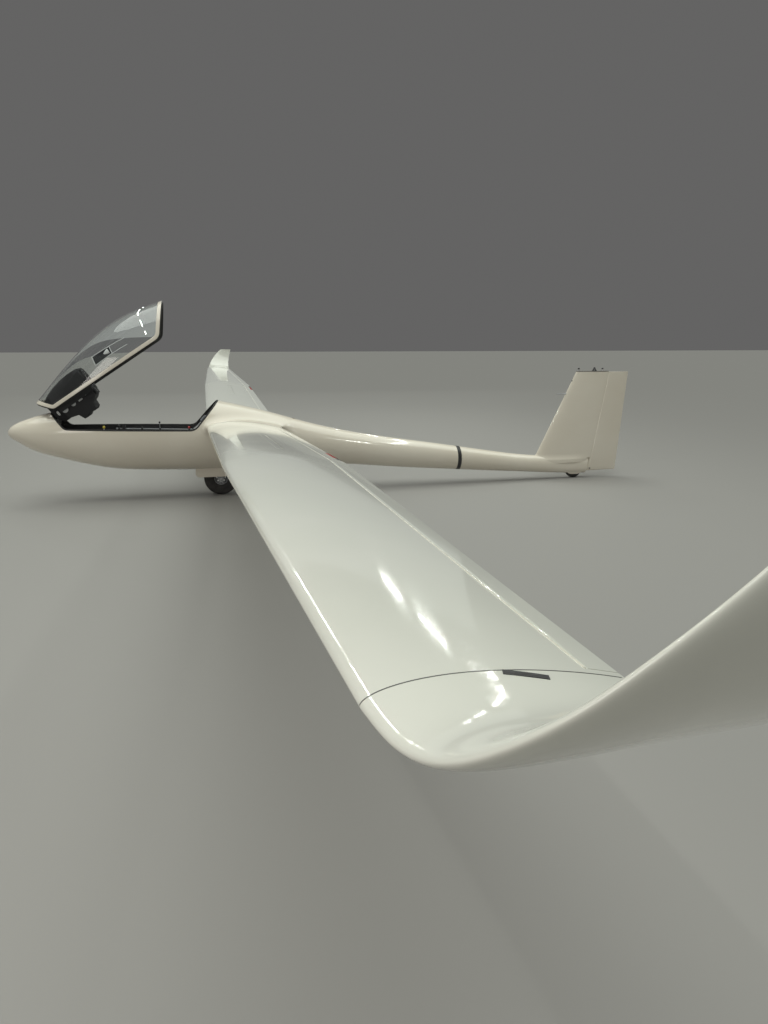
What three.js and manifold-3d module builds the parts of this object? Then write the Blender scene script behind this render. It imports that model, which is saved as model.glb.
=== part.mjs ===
// Single-seat sailplane with upswept tips, parked on its main wheel and tail wheel, canopy open.
// Millimetres. +X forward, +Y left, +Z up. The origin is on the floor, under the middle of the length.
// A station is a distance aft of the nose tip, so x = LENGTH / 2 - station.

import * as THREE from "three";
import { mergeVertices } from "three/addons/utils/BufferGeometryUtils.js";
import Module from "manifold-3d";

const wasm = await Module();
wasm.setup();

// Driving dimensions
const LENGTH = 6795;
const GAP = 0.3;
const MOVING_GAP = 6;

// Fuselage envelope, the closed canopy included. Columns: station, top, bottom, half width, lower power.
const BODY = [
  [0, 706, 706, 0, 2],
  [8, 734, 680, 23, 2],
  [30, 762, 652, 52, 2],
  [87, 800, 617, 92, 2],
  [169, 832, 558, 130, 2],
  [228, 853, 526, 152, 2.1],
  [361, 889, 476, 190, 2.2],
  [480, 916, 442, 218, 2.3],
  [600, 947, 406, 243, 2.3],
  [790, 998, 358, 272, 2.3],
  [977, 1040, 319, 292, 2.3],
  [1224, 1084, 298, 304, 2.3],
  [1400, 1098, 290, 307, 2.3],
  [1580, 1094, 284, 305, 2.3],
  [1777, 1063, 277, 298, 2.3],
  [1905, 1026, 275, 290, 2.3],
  [2011, 990, 274, 278, 2.3],
  [2147, 968, 274, 262, 2.3],
  [2294, 931, 275, 242, 2.2],
  [2556, 865, 280, 208, 2.1],
  [2777, 797, 285, 187, 2],
  [3117, 699, 284, 168, 2],
  [3349, 646, 276, 156, 2],
  [3750, 570, 234, 142, 2],
  [4195, 503, 194, 130, 2],
  [4652, 430, 160, 118, 2],
  [5120, 352, 123, 103, 2],
  [5605, 283, 90, 87, 2.2],
  [5980, 266, 62, 70, 3],
  [6150, 260, 52, 64, 3.2],
  [6330, 251, 50, 53, 3.2],
];
const POD_END = 2900;
const BOOM_END = BODY.at(-1)[0];
const WALL = 14;
const CAVITY = [60, 2500];

// Cockpit opening seen from the side, as station and height; its lines run on up past the canopy.
const OPENING = {
  frontTop: [77.5, 1300],
  frontCorner: [557, 750],
  rearCorner: [1788, 715],
  rearTop: [2294, 1300],
  frontRadius: 70,
  rearRadius: 110,
};

// Canopy: hinged under the nose deck, stored open
const CANOPY = {
  hinge: [212, 722.5],
  open: 35,
  glass: 5,
  rim: 22,
  rimWidth: 40,
  armY: 79,
  armWidth: 24,
  armThick: 12,
};
// Instrument pod, with the canopy closed: outlines of station and height, each with its half width
const POD = {
  nose: {
    half: 116,
    outline: [[494, 845], [560, 888], [640, 912], [640, 604], [548, 602], [508, 662]],
  },
  hood: {
    half: 190,
    outline: [
      [571, 893], [633, 914], [747, 937], [855, 944], [955, 937],
      [966, 905], [969, 822], [962, 690], [589, 690],
    ],
  },
  column: {
    half: 168,
    outline: [
      [604, 720], [604, 606], [698, 578], [722, 516], [752, 512], [800, 540], [846, 524], [872, 542],
      [882, 606], [912, 614], [943, 640], [957, 720],
    ],
  },
};
// Sliding window on the left of the bubble, with the canopy closed
const WINDOW = {
  pane: [[1148, 856], [1164, 930], [1346, 918], [1332, 858]],
  upperRail: [[1156, 936], [1350, 924], [1520, 904]],
  lowerRail: [[1138, 851], [1332, 853], [1505, 840]],
  railWidth: 8,
  paneLift: 3,
  railLift: 5,
};
const STRUT = {
  foot: [240, 573],
  pin: [397.6, 634.1],
  pinRadius: 5,
  play: 4,
  tube: 9,
  tubeEnd: 150,
  rod: 4,
  rodLength: 144,
  eye: 13,
};

// Wing planform, left side. Columns: y, leading edge station, leading edge height, chord, thickness share.
const WING = [
  [345, 1905, 731, 753, 0.15],
  [3948, 1941, 927, 680, 0.145],
  [7032, 2036, 1077, 421, 0.13],
];
// Upswept tip. Columns: y, leading edge station, height, chord, cant in degrees, thickness share.
const TIP = [
  [7032.3, 2036, 1077, 421, 0, 0.13],
  [7138, 2049, 1081, 402, 6, 0.12],
  [7200, 2063, 1092, 386, 16, 0.115],
  [7270, 2080, 1122, 370, 32, 0.11],
  [7337, 2100, 1168, 352, 48, 0.105],
  [7392, 2121, 1215, 336, 58, 0.1],
  [7430, 2155, 1260, 312, 66, 0.1],
  [7462, 2198, 1318, 282, 73, 0.1],
  [7485, 2255, 1378, 244, 79, 0.1],
  [7492, 2317, 1436, 198, 83, 0.09],
];
const FILLET = { radius: 66, runOut: 150, buried: 30, turns: [0, 25, 50, 75, 90] };
const AIRFOIL_SHARES = [0.006, 0.03, 0.08, 0.16, 0.28, 0.42, 0.57, 0.72, 0.865, 1];
const CAMBER = 0.025;
// Flap and aileron, whose ends are values of y. Both turn on pins at one share of the chord.
const SURFACES = [
  { name: "flap", inner: 372, outer: 3928 },
  { name: "aileron", inner: 3968, outer: 7008 },
];
const HINGE = { share: 0.865, nose: 0.7, pin: 3, pinReach: 16 };
const AIRBRAKE = { inner: 2350, outer: 3550, share: 0.52, height: 74, blade: 5, cap: 16, guide: 24 };

// Fin and rudder as one upright aerofoil. Columns: height, leading edge, trailing edge, thickness share.
const FIN = [
  [240, 5633, 6715, 0.105],
  [1250, 6124, 6795, 0.1],
];
const FIN_FOOT = { top: 300, depth: 70, spread: 17, reach: 75, end: 0.7 };
const HINGE_LINE = { low: [6357, 226], high: [6541, 1258] };
const RUDDER = { bottom: 78, foot: 240, top: 1242, nose: 0.8, hinges: [400, 800, 1170], lug: 9, pin: 3.5 };
const HORN = { z: 104, thick: 9, front: 2, rear: 18, half: 52 };
const BOOM_TO_HINGE = 38;

// Wheels
const MAIN = { station: 2028, radius: 175, width: 125, tread: 104, rim: 72, axle: 12 };
const TAIL = { station: 6148, radius: 100, width: 58, tread: 40, rim: 46, axle: 8 };
const BAY = { front: 1767, rear: 2408, half: 115, top: 590, wall: 8 };

// Small controls, each on a rail along the cockpit's side. Rail ends are station, y and height.
// Columns of knobs: station, y, height, radius.
const CONTROLS = {
  left: {
    rail: [[900, 258, 668], [1360, 278, 628]],
    knobs: [[922, 226, 764, 13], [1150, 222, 640, 14], [1260, 235, 600, 10]],
  },
  right: {
    rail: [[990, -268, 695], [1745, -274, 665]],
    knobs: [[1015, -246, 723, 12], [1244, -250, 697, 12], [1426, -238, 752, 10], [1725, -238, 690, 13]],
  },
};
const RAIL_RADIUS = 6;
const STEM_RADIUS = 4;

const paints = {
  gelcoat: [0xe9e2d2, 0.25, 0],
  glass: [0xdfe6e6, 0.05, 0],
  black: [0x16161a, 0.5, 0],
  grey: [0x8b8d90, 0.5, 0.1],
  steel: [0x9a9ca0, 0.35, 0.8],
  rubber: [0x1b1b1b, 0.85, 0],
  cloth: [0x4a4d55, 0.95, 0],
};

// Points and curves

const at = (station, y, z) => [LENGTH / 2 - station, y, z];
const mix = (a, b, t) => a + (b - a) * t;
const radians = THREE.MathUtils.degToRad;

// The row of a table at a value of its first column, in a straight line between rows.
function rowAt(table, value) {
  const last = table.length - 2;
  let i = 0;
  while (i < last && table[i + 1][0] < value) i++;
  const t = (value - table[i][0]) / (table[i + 1][0] - table[i][0]);
  return table[i].map((v, k) => mix(v, table[i + 1][k], t));
}

// A corner's arc, or the corner itself where the radius is 0.
function roundedCorner(before, corner, after, radius, steps = 4) {
  if (!radius) return [corner];
  const c = new THREE.Vector2(...corner);
  const a = new THREE.Vector2(...before).sub(c).normalize();
  const b = new THREE.Vector2(...after).sub(c).normalize();
  const half = Math.acos(THREE.MathUtils.clamp(a.dot(b), -1, 1)) / 2;
  const reach = radius / Math.tan(half);
  const start = c.clone().addScaledVector(a, reach);
  const end = c.clone().addScaledVector(b, reach);
  const curve = new THREE.QuadraticBezierCurve(start, c, end);
  return curve.getPoints(steps).map((p) => [p.x, p.y]);
}

// Solids

function solid(geometry) {
  const bare = new THREE.BufferGeometry();
  bare.setAttribute("position", geometry.getAttribute("position"));
  if (geometry.index) bare.setIndex(geometry.index);
  const merged = mergeVertices(bare, 1e-3);
  const index = Array.from(merged.index.array);
  const kept = [];
  for (let i = 0; i < index.length; i += 3) {
    const [a, b, c] = index.slice(i, i + 3);
    if (a !== b && b !== c && c !== a) kept.push(a, b, c);
  }
  const made = new wasm.Manifold(
    new wasm.Mesh({
      numProp: 3,
      vertProperties: new Float32Array(merged.attributes.position.array),
      triVerts: new Uint32Array(kept),
    }),
  );
  if (made.volume() > 0) return made;
  for (let i = 0; i < kept.length; i += 3) [kept[i], kept[i + 1]] = [kept[i + 1], kept[i]];
  return new wasm.Manifold(
    new wasm.Mesh({
      numProp: 3,
      vertProperties: new Float32Array(merged.attributes.position.array),
      triVerts: new Uint32Array(kept),
    }),
  );
}

function geometryOf(body) {
  const m = body.getMesh();
  const position = new Float32Array(m.numVert * 3);
  for (let i = 0; i < m.numVert; i++) {
    position.set(m.vertProperties.subarray(i * m.numProp, i * m.numProp + 3), i * 3);
  }
  const made = new THREE.BufferGeometry();
  made.setAttribute("position", new THREE.BufferAttribute(position, 3));
  made.setIndex(new THREE.BufferAttribute(m.triVerts, 1));
  made.computeVertexNormals();
  return made;
}

// A skin through rings of equal length, closed by a flat cap at each end.
function loft(rings) {
  const n = rings[0].length;
  const index = [];
  for (let r = 0; r + 1 < rings.length; r++) {
    for (let i = 0; i < n; i++) {
      const a = r * n + i;
      const b = r * n + ((i + 1) % n);
      index.push(a, b, a + n, b, b + n, a + n);
    }
  }
  const cap = (ring, offset, flip) => {
    const p = ring.map((v) => new THREE.Vector3(...v));
    const normal = new THREE.Vector3();
    for (let i = 0; i < n; i++) normal.add(new THREE.Vector3().crossVectors(p[i], p[(i + 1) % n]));
    if (normal.length() < 1) return;
    const [u, v] = flatAxes(normal);
    const flat = p.map((q) => new THREE.Vector2(q.dot(u), q.dot(v)));
    const turned = THREE.ShapeUtils.isClockWise(flat);
    for (const [a, b, c] of THREE.ShapeUtils.triangulateShape(flat, [])) {
      const way = turned === flip ? [a, b, c] : [a, c, b];
      index.push(...way.map((k) => k + offset));
    }
  };
  cap(rings[0], 0, true);
  cap(rings[rings.length - 1], (rings.length - 1) * n, false);
  const made = new THREE.BufferGeometry();
  made.setAttribute("position", new THREE.Float32BufferAttribute(rings.flat(2), 3));
  made.setIndex(index);
  return solid(made);
}

function flatAxes(normal) {
  const n = normal.clone().normalize();
  const u = Math.abs(n.x) > 0.7 ? new THREE.Vector3(0, 1, 0) : new THREE.Vector3(1, 0, 0);
  u.addScaledVector(n, -u.dot(n)).normalize();
  return [u, new THREE.Vector3().crossVectors(n, u)];
}

// An outline of stations and heights, extruded across the glider from y0 to y1.
function slab(outline, y0, y1) {
  const shape = new THREE.Shape(outline.map(([s, z]) => new THREE.Vector2(LENGTH / 2 - s, z)));
  const made = new THREE.ExtrudeGeometry(shape, { depth: y1 - y0, bevelEnabled: false });
  return solid(made.rotateX(Math.PI / 2).translate(0, y1, 0));
}

const block = (s0, s1, y0, y1, z0, z1) =>
  slab([[s0, z0], [s1, z0], [s1, z1], [s0, z1]], y0, y1);

// A strip of even width that follows a line of stations and heights.
function stripOutline(line, width) {
  const p = line.map((q) => new THREE.Vector2(...q));
  const side = (sign) =>
    p.map((q, i) => {
      const back = i > 0 ? q.clone().sub(p[i - 1]).normalize() : null;
      const on = i + 1 < p.length ? p[i + 1].clone().sub(q).normalize() : null;
      const way = (back && on ? back.clone().add(on) : back || on).normalize();
      const bend = back && on ? Math.sqrt((1 + back.dot(on)) / 2) : 1;
      const reach = ((width / 2) * sign) / bend;
      return [q.x - way.y * reach, q.y + way.x * reach];
    });
  return [...side(1), ...side(-1).reverse()];
}

// A round bar across the glider.
function crossBar(station, z, radius, y0, y1, sides = 24) {
  const made = new THREE.CylinderGeometry(radius, radius, y1 - y0, sides);
  return solid(made.translate(LENGTH / 2 - station, (y0 + y1) / 2, z));
}

// A round bar between two points.
function bar(from, to, radius, sides = 16) {
  const a = new THREE.Vector3(...from);
  const b = new THREE.Vector3(...to);
  const way = b.clone().sub(a);
  const made = new THREE.CylinderGeometry(radius, radius, way.length(), sides);
  const turn = new THREE.Quaternion().setFromUnitVectors(
    new THREE.Vector3(0, 1, 0),
    way.clone().normalize(),
  );
  made.applyQuaternion(turn);
  const middle = a.add(b).multiplyScalar(0.5);
  return solid(made.translate(middle.x, middle.y, middle.z));
}

// A turned ring or disc about an axis across the glider; its outline is radius and width.
function turned(outline, station, z, segments) {
  const outwards = 1 / Math.cos(Math.PI / segments);
  const closed = [...outline, outline[0]].map(([r, w]) => new THREE.Vector2(r * outwards, w));
  const made = new THREE.LatheGeometry(closed, segments);
  made.rotateY(Math.PI / segments);
  return solid(made.translate(LENGTH / 2 - station, 0, z));
}

const mirrored = (body) => body.mirror([0, 1, 0]);
const joined = (...bodies) => bodies.reduce((a, b) => a.add(b));

// Meshes

const sailplane = new THREE.Group();
sailplane.name = "sailplane";

function place(name, body, paint, group = sailplane) {
  const [color, roughness, metalness] = paints[paint];
  const material = new THREE.MeshStandardMaterial({ color, roughness, metalness });
  if (paint === "glass") {
    material.transparent = true;
    material.opacity = 0.25;
  }
  const mesh = new THREE.Mesh(geometryOf(body), material);
  mesh.name = name;
  group.add(mesh);
}

// Fuselage sections

function bodyRing(station, inset, points) {
  const [, top, bottom, half, power] = rowAt(BODY, station);
  const middle = (top + bottom) / 2;
  const rise = Math.max((top - bottom) / 2 - inset, 0);
  const width = Math.max(half - inset, 0);
  const ring = [];
  for (let i = 0; i < points; i++) {
    const turn = (2 * Math.PI * i) / points;
    const up = Math.cos(turn);
    const out = Math.sin(turn);
    const e = up >= 0 ? 1 : 2 / power;
    const y = width * Math.sign(out) * Math.abs(out) ** e;
    const z = middle + rise * Math.sign(up) * Math.abs(up) ** e;
    ring.push(at(station, y, z));
  }
  return ring;
}

function envelope(from, to, inset, points = 32) {
  const stations = BODY.map((row) => row[0]).filter((s) => s > from && s < to);
  return loft([from, ...stations, to].map((s) => bodyRing(s, inset, points)));
}

// The cockpit opening's outline, drawn in by a clearance.
function openingOutline(inset) {
  const { frontTop, frontCorner, rearCorner, rearTop, frontRadius, rearRadius } = OPENING;
  const lines = [
    [frontTop, frontCorner],
    [frontCorner, rearCorner],
    [rearCorner, rearTop],
  ].map(([p, q]) => {
    const way = new THREE.Vector2(q[0] - p[0], q[1] - p[1]).normalize();
    const inwards = new THREE.Vector2(-way.y, way.x).multiplyScalar(inset);
    return [new THREE.Vector2(...p).add(inwards), way];
  });
  const meet = ([p, u], [q, v]) => {
    const cross = u.x * v.y - u.y * v.x;
    const t = ((q.x - p.x) * v.y - (q.y - p.y) * v.x) / cross;
    return [p.x + u.x * t, p.y + u.y * t];
  };
  const a = [lines[0][0].x, lines[0][0].y];
  const b = meet(lines[0], lines[1]);
  const c = meet(lines[1], lines[2]);
  const end = lines[2][0].clone().addScaledVector(lines[2][1], 773);
  return [
    a,
    ...roundedCorner(a, b, c, Math.max(frontRadius - inset, 8)),
    ...roundedCorner(b, c, [end.x, end.y], Math.max(rearRadius - inset, 8)),
    [end.x, end.y],
  ];
}

const aboveSill = (inset) => slab(openingOutline(inset), -500, 500);

// Wing sections

// Half the depth of a wing or fin section at a share of its chord, before its thickness.
const depthShape = (x) =>
  0.2969 * Math.sqrt(x) - 0.126 * x - 0.3516 * x ** 2 + 0.2843 * x ** 3 - 0.1036 * x ** 4;

function sectionRing({ y, station, height, chord, cant = 0, thickness }, shares = AIRFOIL_SHARES) {
  const tilt = radians(cant);
  const drop = (10 * chord) / 753;
  const point = (x, side) => {
    const rise = chord * (5 * thickness * depthShape(x) * side + 4 * CAMBER * x * (1 - x)) + 0.8 * x * side;
    const up = rise - drop * x;
    return at(station + chord * x, y - Math.sin(tilt) * up, height + Math.cos(tilt) * up);
  };
  return [point(0, 1), ...shares.map((x) => point(x, 1)), ...[...shares].reverse().map((x) => point(x, -1))];
}

function wingStation(y) {
  const [, station, height, chord, thickness] = rowAt(WING, y);
  return { y, station, height, chord, thickness };
}

// Where a flap or aileron turns: the middle of the section at that share, and half its depth there.
function hingeAxis(y) {
  const here = wingStation(y);
  const ring = sectionRing(here, [HINGE.share]);
  const [, upper, lower] = ring;
  return {
    x: upper[0],
    y,
    z: (upper[2] + lower[2]) / 2,
    half: (upper[2] - lower[2]) / 2,
  };
}

// A rounded rod of circular sections whose radius changes from end to end, in planes of equal y.
function taper(ends, radiusOf, points = 16) {
  return loft(
    ends.map((end) => {
      const ring = [];
      for (let i = 0; i < points; i++) {
        const turn = (2 * Math.PI * (i + 0.5)) / points;
        const r = radiusOf(end) / Math.cos(Math.PI / points);
        ring.push([end.x + r * Math.cos(turn), end.y, end.z + r * Math.sin(turn)]);
      }
      return ring;
    }),
  );
}

function surfaceRing(y) {
  const here = wingStation(y);
  const axis = hingeAxis(y);
  const radius = axis.half * HINGE.nose;
  const ring = [];
  for (let i = 0; i <= 6; i++) {
    const turn = -Math.PI / 2 + (Math.PI * i) / 6;
    ring.push([axis.x + radius * Math.cos(turn), y, axis.z + radius * Math.sin(turn)]);
  }
  const [, rearUpper, rearLower] = sectionRing(here, [1]);
  return [...ring, rearUpper, rearLower];
}

// Body: the pod

// How far the pod's side lies from the middle plane.
function bodySide(station, z) {
  const [, top, bottom, half, power] = rowAt(BODY, station);
  const up = (z - (top + bottom) / 2) / ((top - bottom) / 2);
  const e = up >= 0 ? 2 : power;
  return half * Math.max(1 - Math.abs(up) ** e, 0) ** (1 / e);
}

// The wing root's section, swept into the pod's side on a hollow curve that runs out aft.
function rootFillet() {
  const { radius, runOut, buried, turns } = FILLET;
  const [rootY, front, , chord] = WING[0];
  const root = sectionRing({ ...wingStation(rootY), y: rootY - GAP });
  const flat = root.map(([x, , z]) => new THREE.Vector2(x, z));
  const middle = flat.reduce((sum, p) => sum.add(p), new THREE.Vector2()).divideScalar(flat.length);
  const outwards = flat.map((p, i) => {
    const on = flat[(i + 1) % flat.length].clone().sub(flat.at(i - 1)).normalize();
    const way = new THREE.Vector2(on.y, -on.x);
    return way.dot(p.clone().sub(middle)) < 0 ? way.negate() : way;
  });
  const ring = (degrees, sink) =>
    flat.map((p, i) => {
      const grow = 1 - Math.cos(radians(degrees));
      const share = (LENGTH / 2 - p.x - front) / chord;
      const aft = runOut * Math.max((share - 0.55) / 0.45, 0) ** 1.5;
      const x = p.x + (outwards[i].x * radius - aft) * grow;
      const z = p.y + outwards[i].y * radius * grow;
      const edge = bodySide(LENGTH / 2 - x, z);
      const reach = Math.min(radius, 0.94 * (rootY - edge));
      return [x, edge + reach * (1 - Math.sin(radians(degrees))) - sink, z];
    });
  return loft([root, ...turns.map((turn) => ring(turn, 0)), ring(turns.at(-1), buried)]);
}

function fuselagePod() {
  const fillet = rootFillet();
  const outer = joined(envelope(0, POD_END, 0), fillet, mirrored(fillet));
  const bay = block(BAY.front, BAY.rear, -BAY.half, BAY.half, 200, BAY.top + BAY.wall + GAP);
  return outer
    .subtract(envelope(CAVITY[0], CAVITY[1], WALL))
    .subtract(aboveSill(0))
    .subtract(bay);
}

place("fuselage_pod", fuselagePod(), "gelcoat");

function tailBoom() {
  const [high, low] = [400, 20].map((z) => [hingeStation(z) - BOOM_TO_HINGE, z]);
  const behind = slab([high, low, [6600, 20], [6600, 400]], -200, 200);
  const slot = block(
    TAIL.station - TAIL.radius - 12, TAIL.station + TAIL.radius + 12,
    -TAIL.width / 2 - 7, TAIL.width / 2 + 7, 0, TAIL.radius * 2 + 14,
  );
  return envelope(POD_END, BOOM_END, 0, 20).subtract(behind).subtract(slot);
}

place("tail_boom", tailBoom(), "gelcoat");

// Fin and rudder

// A level section of the fin, which flares into a hollow fillet at its foot.
function finSection(z) {
  const [, front, rear, thickness] = rowAt(FIN, z);
  const chord = rear - front;
  const shares = [0.01, 0.05, 0.14, 0.28, 0.45, 0.62, 0.8, 1];
  const low = THREE.MathUtils.clamp((FIN_FOOT.top - z) / FIN_FOOT.depth, 0, 1) ** 2.2;
  const half = (x) => {
    const aft = THREE.MathUtils.clamp((FIN_FOOT.end - x) / (0.3 * FIN_FOOT.end), 0, 1);
    return 5 * thickness * chord * depthShape(x) + 0.8 * x + FIN_FOOT.spread * low * aft * Math.min(x * 9, 1);
  };
  const station = (x) => {
    const forward = Math.max(1 - x / FIN_FOOT.end, 0) ** 2;
    return front + chord * x - FIN_FOOT.reach * low * forward;
  };
  return [
    at(station(0), 0, z),
    ...shares.map((x) => at(station(x), half(x), z)),
    ...[...shares].reverse().map((x) => at(station(x), -half(x), z)),
  ];
}

function hingeStation(z) {
  const { low, high } = HINGE_LINE;
  return low[0] + ((z - low[1]) * (high[0] - low[0])) / (high[1] - low[1]);
}

function finHalfDepth(z) {
  const [, front, rear, thickness] = rowAt(FIN, z);
  const chord = rear - front;
  return 5 * thickness * chord * depthShape((hingeStation(z) - front) / chord);
}

function uprightRound(z, radius, points = 20) {
  const ring = [];
  for (let i = 0; i < points; i++) {
    const turn = (2 * Math.PI * (i + 0.5)) / points;
    ring.push(at(hingeStation(z) - radius * Math.cos(turn), radius * Math.sin(turn), z));
  }
  return ring;
}

function fin() {
  const cove = loft(
    [150, 1400].map((z) => uprightRound(z, finHalfDepth(Math.min(z, 1250)) * RUDDER.nose + MOVING_GAP)),
  );
  const behind = slab(
    [[hingeStation(100) - 16, 100], [hingeStation(1400) - 16, 1400], [7000, 1400], [7000, 100]],
    -200,
    200,
  );
  const boom = envelope(5300, BOOM_END, -GAP, 20);
  const blade = loft([238, 255, 272, FIN_FOOT.top, 1250].map(finSection)).subtract(cove).subtract(behind);
  const main = blade.subtract(boom).decompose().sort((a, b) => b.volume() - a.volume())[0];
  return RUDDER.hinges.reduce((made, z) => made.add(hingeLug(z)), main);
}

// A flat lug that reaches from the fin back to the rudder's pin.
function hingeLug(z) {
  const { lug, pin } = RUDDER;
  const plate = loft(
    [z - 4, z + 4].map((height) => {
      const s = hingeStation(height);
      const round = [];
      for (let i = 0; i <= 8; i++) {
        const turn = -Math.PI / 2 + (Math.PI * i) / 8;
        round.push(at(s + lug * Math.cos(turn), lug * Math.sin(turn), height));
      }
      return [at(s - 75, -lug, height), ...round, at(s - 75, lug, height)];
    }),
  );
  return plate.subtract(hingePin(z, pin + 0.7));
}

function hingePin(z, radius) {
  return bar(at(hingeStation(z - 12), 0, z - 12), at(hingeStation(z + 12), 0, z + 12), radius);
}

place("fin", fin(), "gelcoat");

function rudderSection(z) {
  const [, , rear] = rowAt(FIN, Math.max(z, 100));
  const radius = finHalfDepth(Math.max(z, RUDDER.foot)) * RUDDER.nose;
  const ring = [];
  for (let i = 0; i <= 6; i++) {
    const turn = -Math.PI / 2 + (Math.PI * i) / 6;
    ring.push(at(hingeStation(z) - radius * Math.cos(turn), radius * Math.sin(turn), z));
  }
  return [...ring, at(rear, 1, z), at(rear, -1, z)];
}

function rudder() {
  const blade = loft([RUDDER.bottom, RUDDER.foot, RUDDER.top].map(rudderSection)).subtract(hornPlate(GAP));
  return RUDDER.hinges.reduce((made, z) => {
    const s = hingeStation(z);
    const notch = block(s - 70, s + RUDDER.lug + MOVING_GAP, -70, 70, z - 10, z + 10);
    return made.subtract(notch).add(hingePin(z, RUDDER.pin));
  }, blade);
}

// The plate through the rudder's foot that takes the two cables, grown by a gap for its slot.
function hornPlate(grow) {
  const { z, thick, front, rear, half } = HORN;
  const s = hingeStation(z);
  return block(s + front - grow, s + rear + grow, -half - grow, half + grow, z - grow, z + thick + grow);
}

place("rudder", rudder(), "gelcoat");
place("rudder_horn", hornPlate(0), "black");

// Fittings for the tailplane on the fin's flat top, and the probe on its leading edge
place("tailplane_front_pin", bar(at(6150, 0, 1250 + GAP), at(6150, 0, 1288), 7), "steel");
place("elevator_drive", solid(new THREE.CylinderGeometry(8, 30, 44, 4).rotateX(Math.PI / 2)
  .translate(...at(6352, 0, 1250 + GAP + 22))), "black");
place("tailplane_rear_pin", bar(at(6456, 0, 1250 + GAP), at(6456, 0, 1286), 6), "steel");
const probeRoot = rowAt(FIN, 987)[1] - GAP;
place("fin_probe", bar(at(5885, 0, 992), at(probeRoot, 0, 992), 5), "grey");

// Wings

function airbrakeFrame(y) {
  const here = wingStation(y);
  const [, upper] = sectionRing(here, [AIRBRAKE.share]);
  return { x: upper[0], z: upper[2] };
}

// A block that follows the wing's upper surface from one station of y to another.
function alongBrake(halfWidth, below, above, y0, y1) {
  return loft(
    [y0, y1].map((y) => {
      const { x, z } = airbrakeFrame(y);
      return [
        [x - halfWidth, y, z - below],
        [x + halfWidth, y, z - below],
        [x + halfWidth, y, z + above],
        [x - halfWidth, y, z + above],
      ];
    }),
  );
}

function wing() {
  const whole = loft(WING.map(([y]) => sectionRing(wingStation(y))));
  const { inner, outer, height, blade, cap, guide } = AIRBRAKE;
  const guides = joined(
    alongBrake(50, height + 20, -12, inner + 150, inner + 150 + guide),
    alongBrake(50, height + 20, -12, outer - 150 - guide, outer - 150),
  ).subtract(alongBrake(blade / 2 + 0.7, height + 6, 30, inner, outer));
  const slot = alongBrake(blade / 2 + MOVING_GAP, height + 6, 30, inner - MOVING_GAP, outer + MOVING_GAP);
  const recess = alongBrake(cap + MOVING_GAP, 11, 30, inner - MOVING_GAP, outer + MOVING_GAP);
  return SURFACES.reduce((made, surface) => made.subtract(surfaceRoom(surface)), whole)
    .subtract(slot.subtract(guides))
    .subtract(recess);
}

// The hollow behind the wing's spar that a flap or aileron turns in, with the bores of its pins.
function surfaceRoom({ inner, outer }) {
  const ends = [inner - MOVING_GAP, outer + MOVING_GAP].map(hingeAxis);
  const cove = taper(ends, (e) => e.half * HINGE.nose + MOVING_GAP);
  const behind = loft(
    ends.map((e) => [
      [e.x + 5, e.y, e.z - 80],
      [e.x - 300, e.y, e.z - 80],
      [e.x - 300, e.y, e.z + 80],
      [e.x + 5, e.y, e.z + 80],
    ]),
  );
  return joined(cove, behind, surfacePin({ inner, outer }, HINGE.pinReach + 1, HINGE.pin + 0.7));
}

// The hinge pin of a flap or aileron, from end to end and a little way into the wing.
function surfacePin({ inner, outer }, reach, radius) {
  const [a, b] = [inner - reach, outer + reach].map(hingeAxis);
  return bar([a.x, a.y, a.z], [b.x, b.y, b.z], radius);
}

const surfaceBlade = (surface) =>
  loft([surface.inner, surface.outer].map(surfaceRing)).add(surfacePin(surface, HINGE.pinReach, HINGE.pin));

// The cap lies flush in its recess: its top is the wing's own surface.
function airbrake() {
  const { inner, outer, height, blade, cap } = AIRBRAKE;
  const skin = loft([inner, outer].map((y) => sectionRing(wingStation(y))));
  const lid = alongBrake(cap, 5, 30, inner, outer).intersect(skin);
  const plate = alongBrake(blade / 2, height, -3, inner, outer);
  return lid.add(plate);
}

const tipRings = () =>
  TIP.map(([y, station, height, chord, cant, thickness]) =>
    sectionRing({ y, station, height, chord, cant, thickness }),
  );

const leftWing = wing();
const leftBrake = airbrake();
const leftTip = loft(tipRings());

for (const [side, turn] of [["left", (b) => b], ["right", mirrored]]) {
  place("wing_" + side, turn(leftWing), "gelcoat");
  place("wing_tip_" + side, turn(leftTip), "gelcoat");
  for (const surface of SURFACES) {
    place(surface.name + "_" + side, turn(surfaceBlade(surface)), "gelcoat");
  }
  place("airbrake_" + side, turn(leftBrake), "gelcoat");
}

// Main wheel, its leg and its doors

function tyreOutline({ radius, width, tread, rim }) {
  const side = [
    [rim, width * 0.36],
    [mix(rim, radius, 0.3), width * 0.49],
    [mix(rim, radius, 0.65), width * 0.5],
    [mix(rim, radius, 0.9), width * 0.47],
    [radius, tread / 2],
  ];
  return [...side.map(([r, w]) => [r, -w]), ...[...side].reverse()];
}

function hubOutline({ rim, width, axle }) {
  const [out, face, web] = [rim - 0.7, width * 0.35, width * 0.16];
  const bore = axle + 0.8;
  return [
    [bore, -face], [bore + 16, -face], [bore + 20, -web], [out - 9, -web], [out - 5, -face], [out, -face],
    [out, face], [out - 5, face], [out - 9, web], [bore + 20, web], [bore + 16, face], [bore, face],
  ];
}

for (const [name, wheel, segments] of [["main", MAIN, 40], ["tail", TAIL, 32]]) {
  place(name + "_tyre", turned(tyreOutline(wheel), wheel.station, wheel.radius, segments), "rubber");
  place(name + "_hub", turned(hubOutline(wheel), wheel.station, wheel.radius, segments), "grey");
}

place("main_axle", crossBar(MAIN.station, MAIN.radius, MAIN.axle, -96, 96), "steel");
const tailReach = TAIL.width / 2 + 7 - GAP;
place("tail_axle", crossBar(TAIL.station, TAIL.radius, TAIL.axle, -tailReach, tailReach), "steel");

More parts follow.
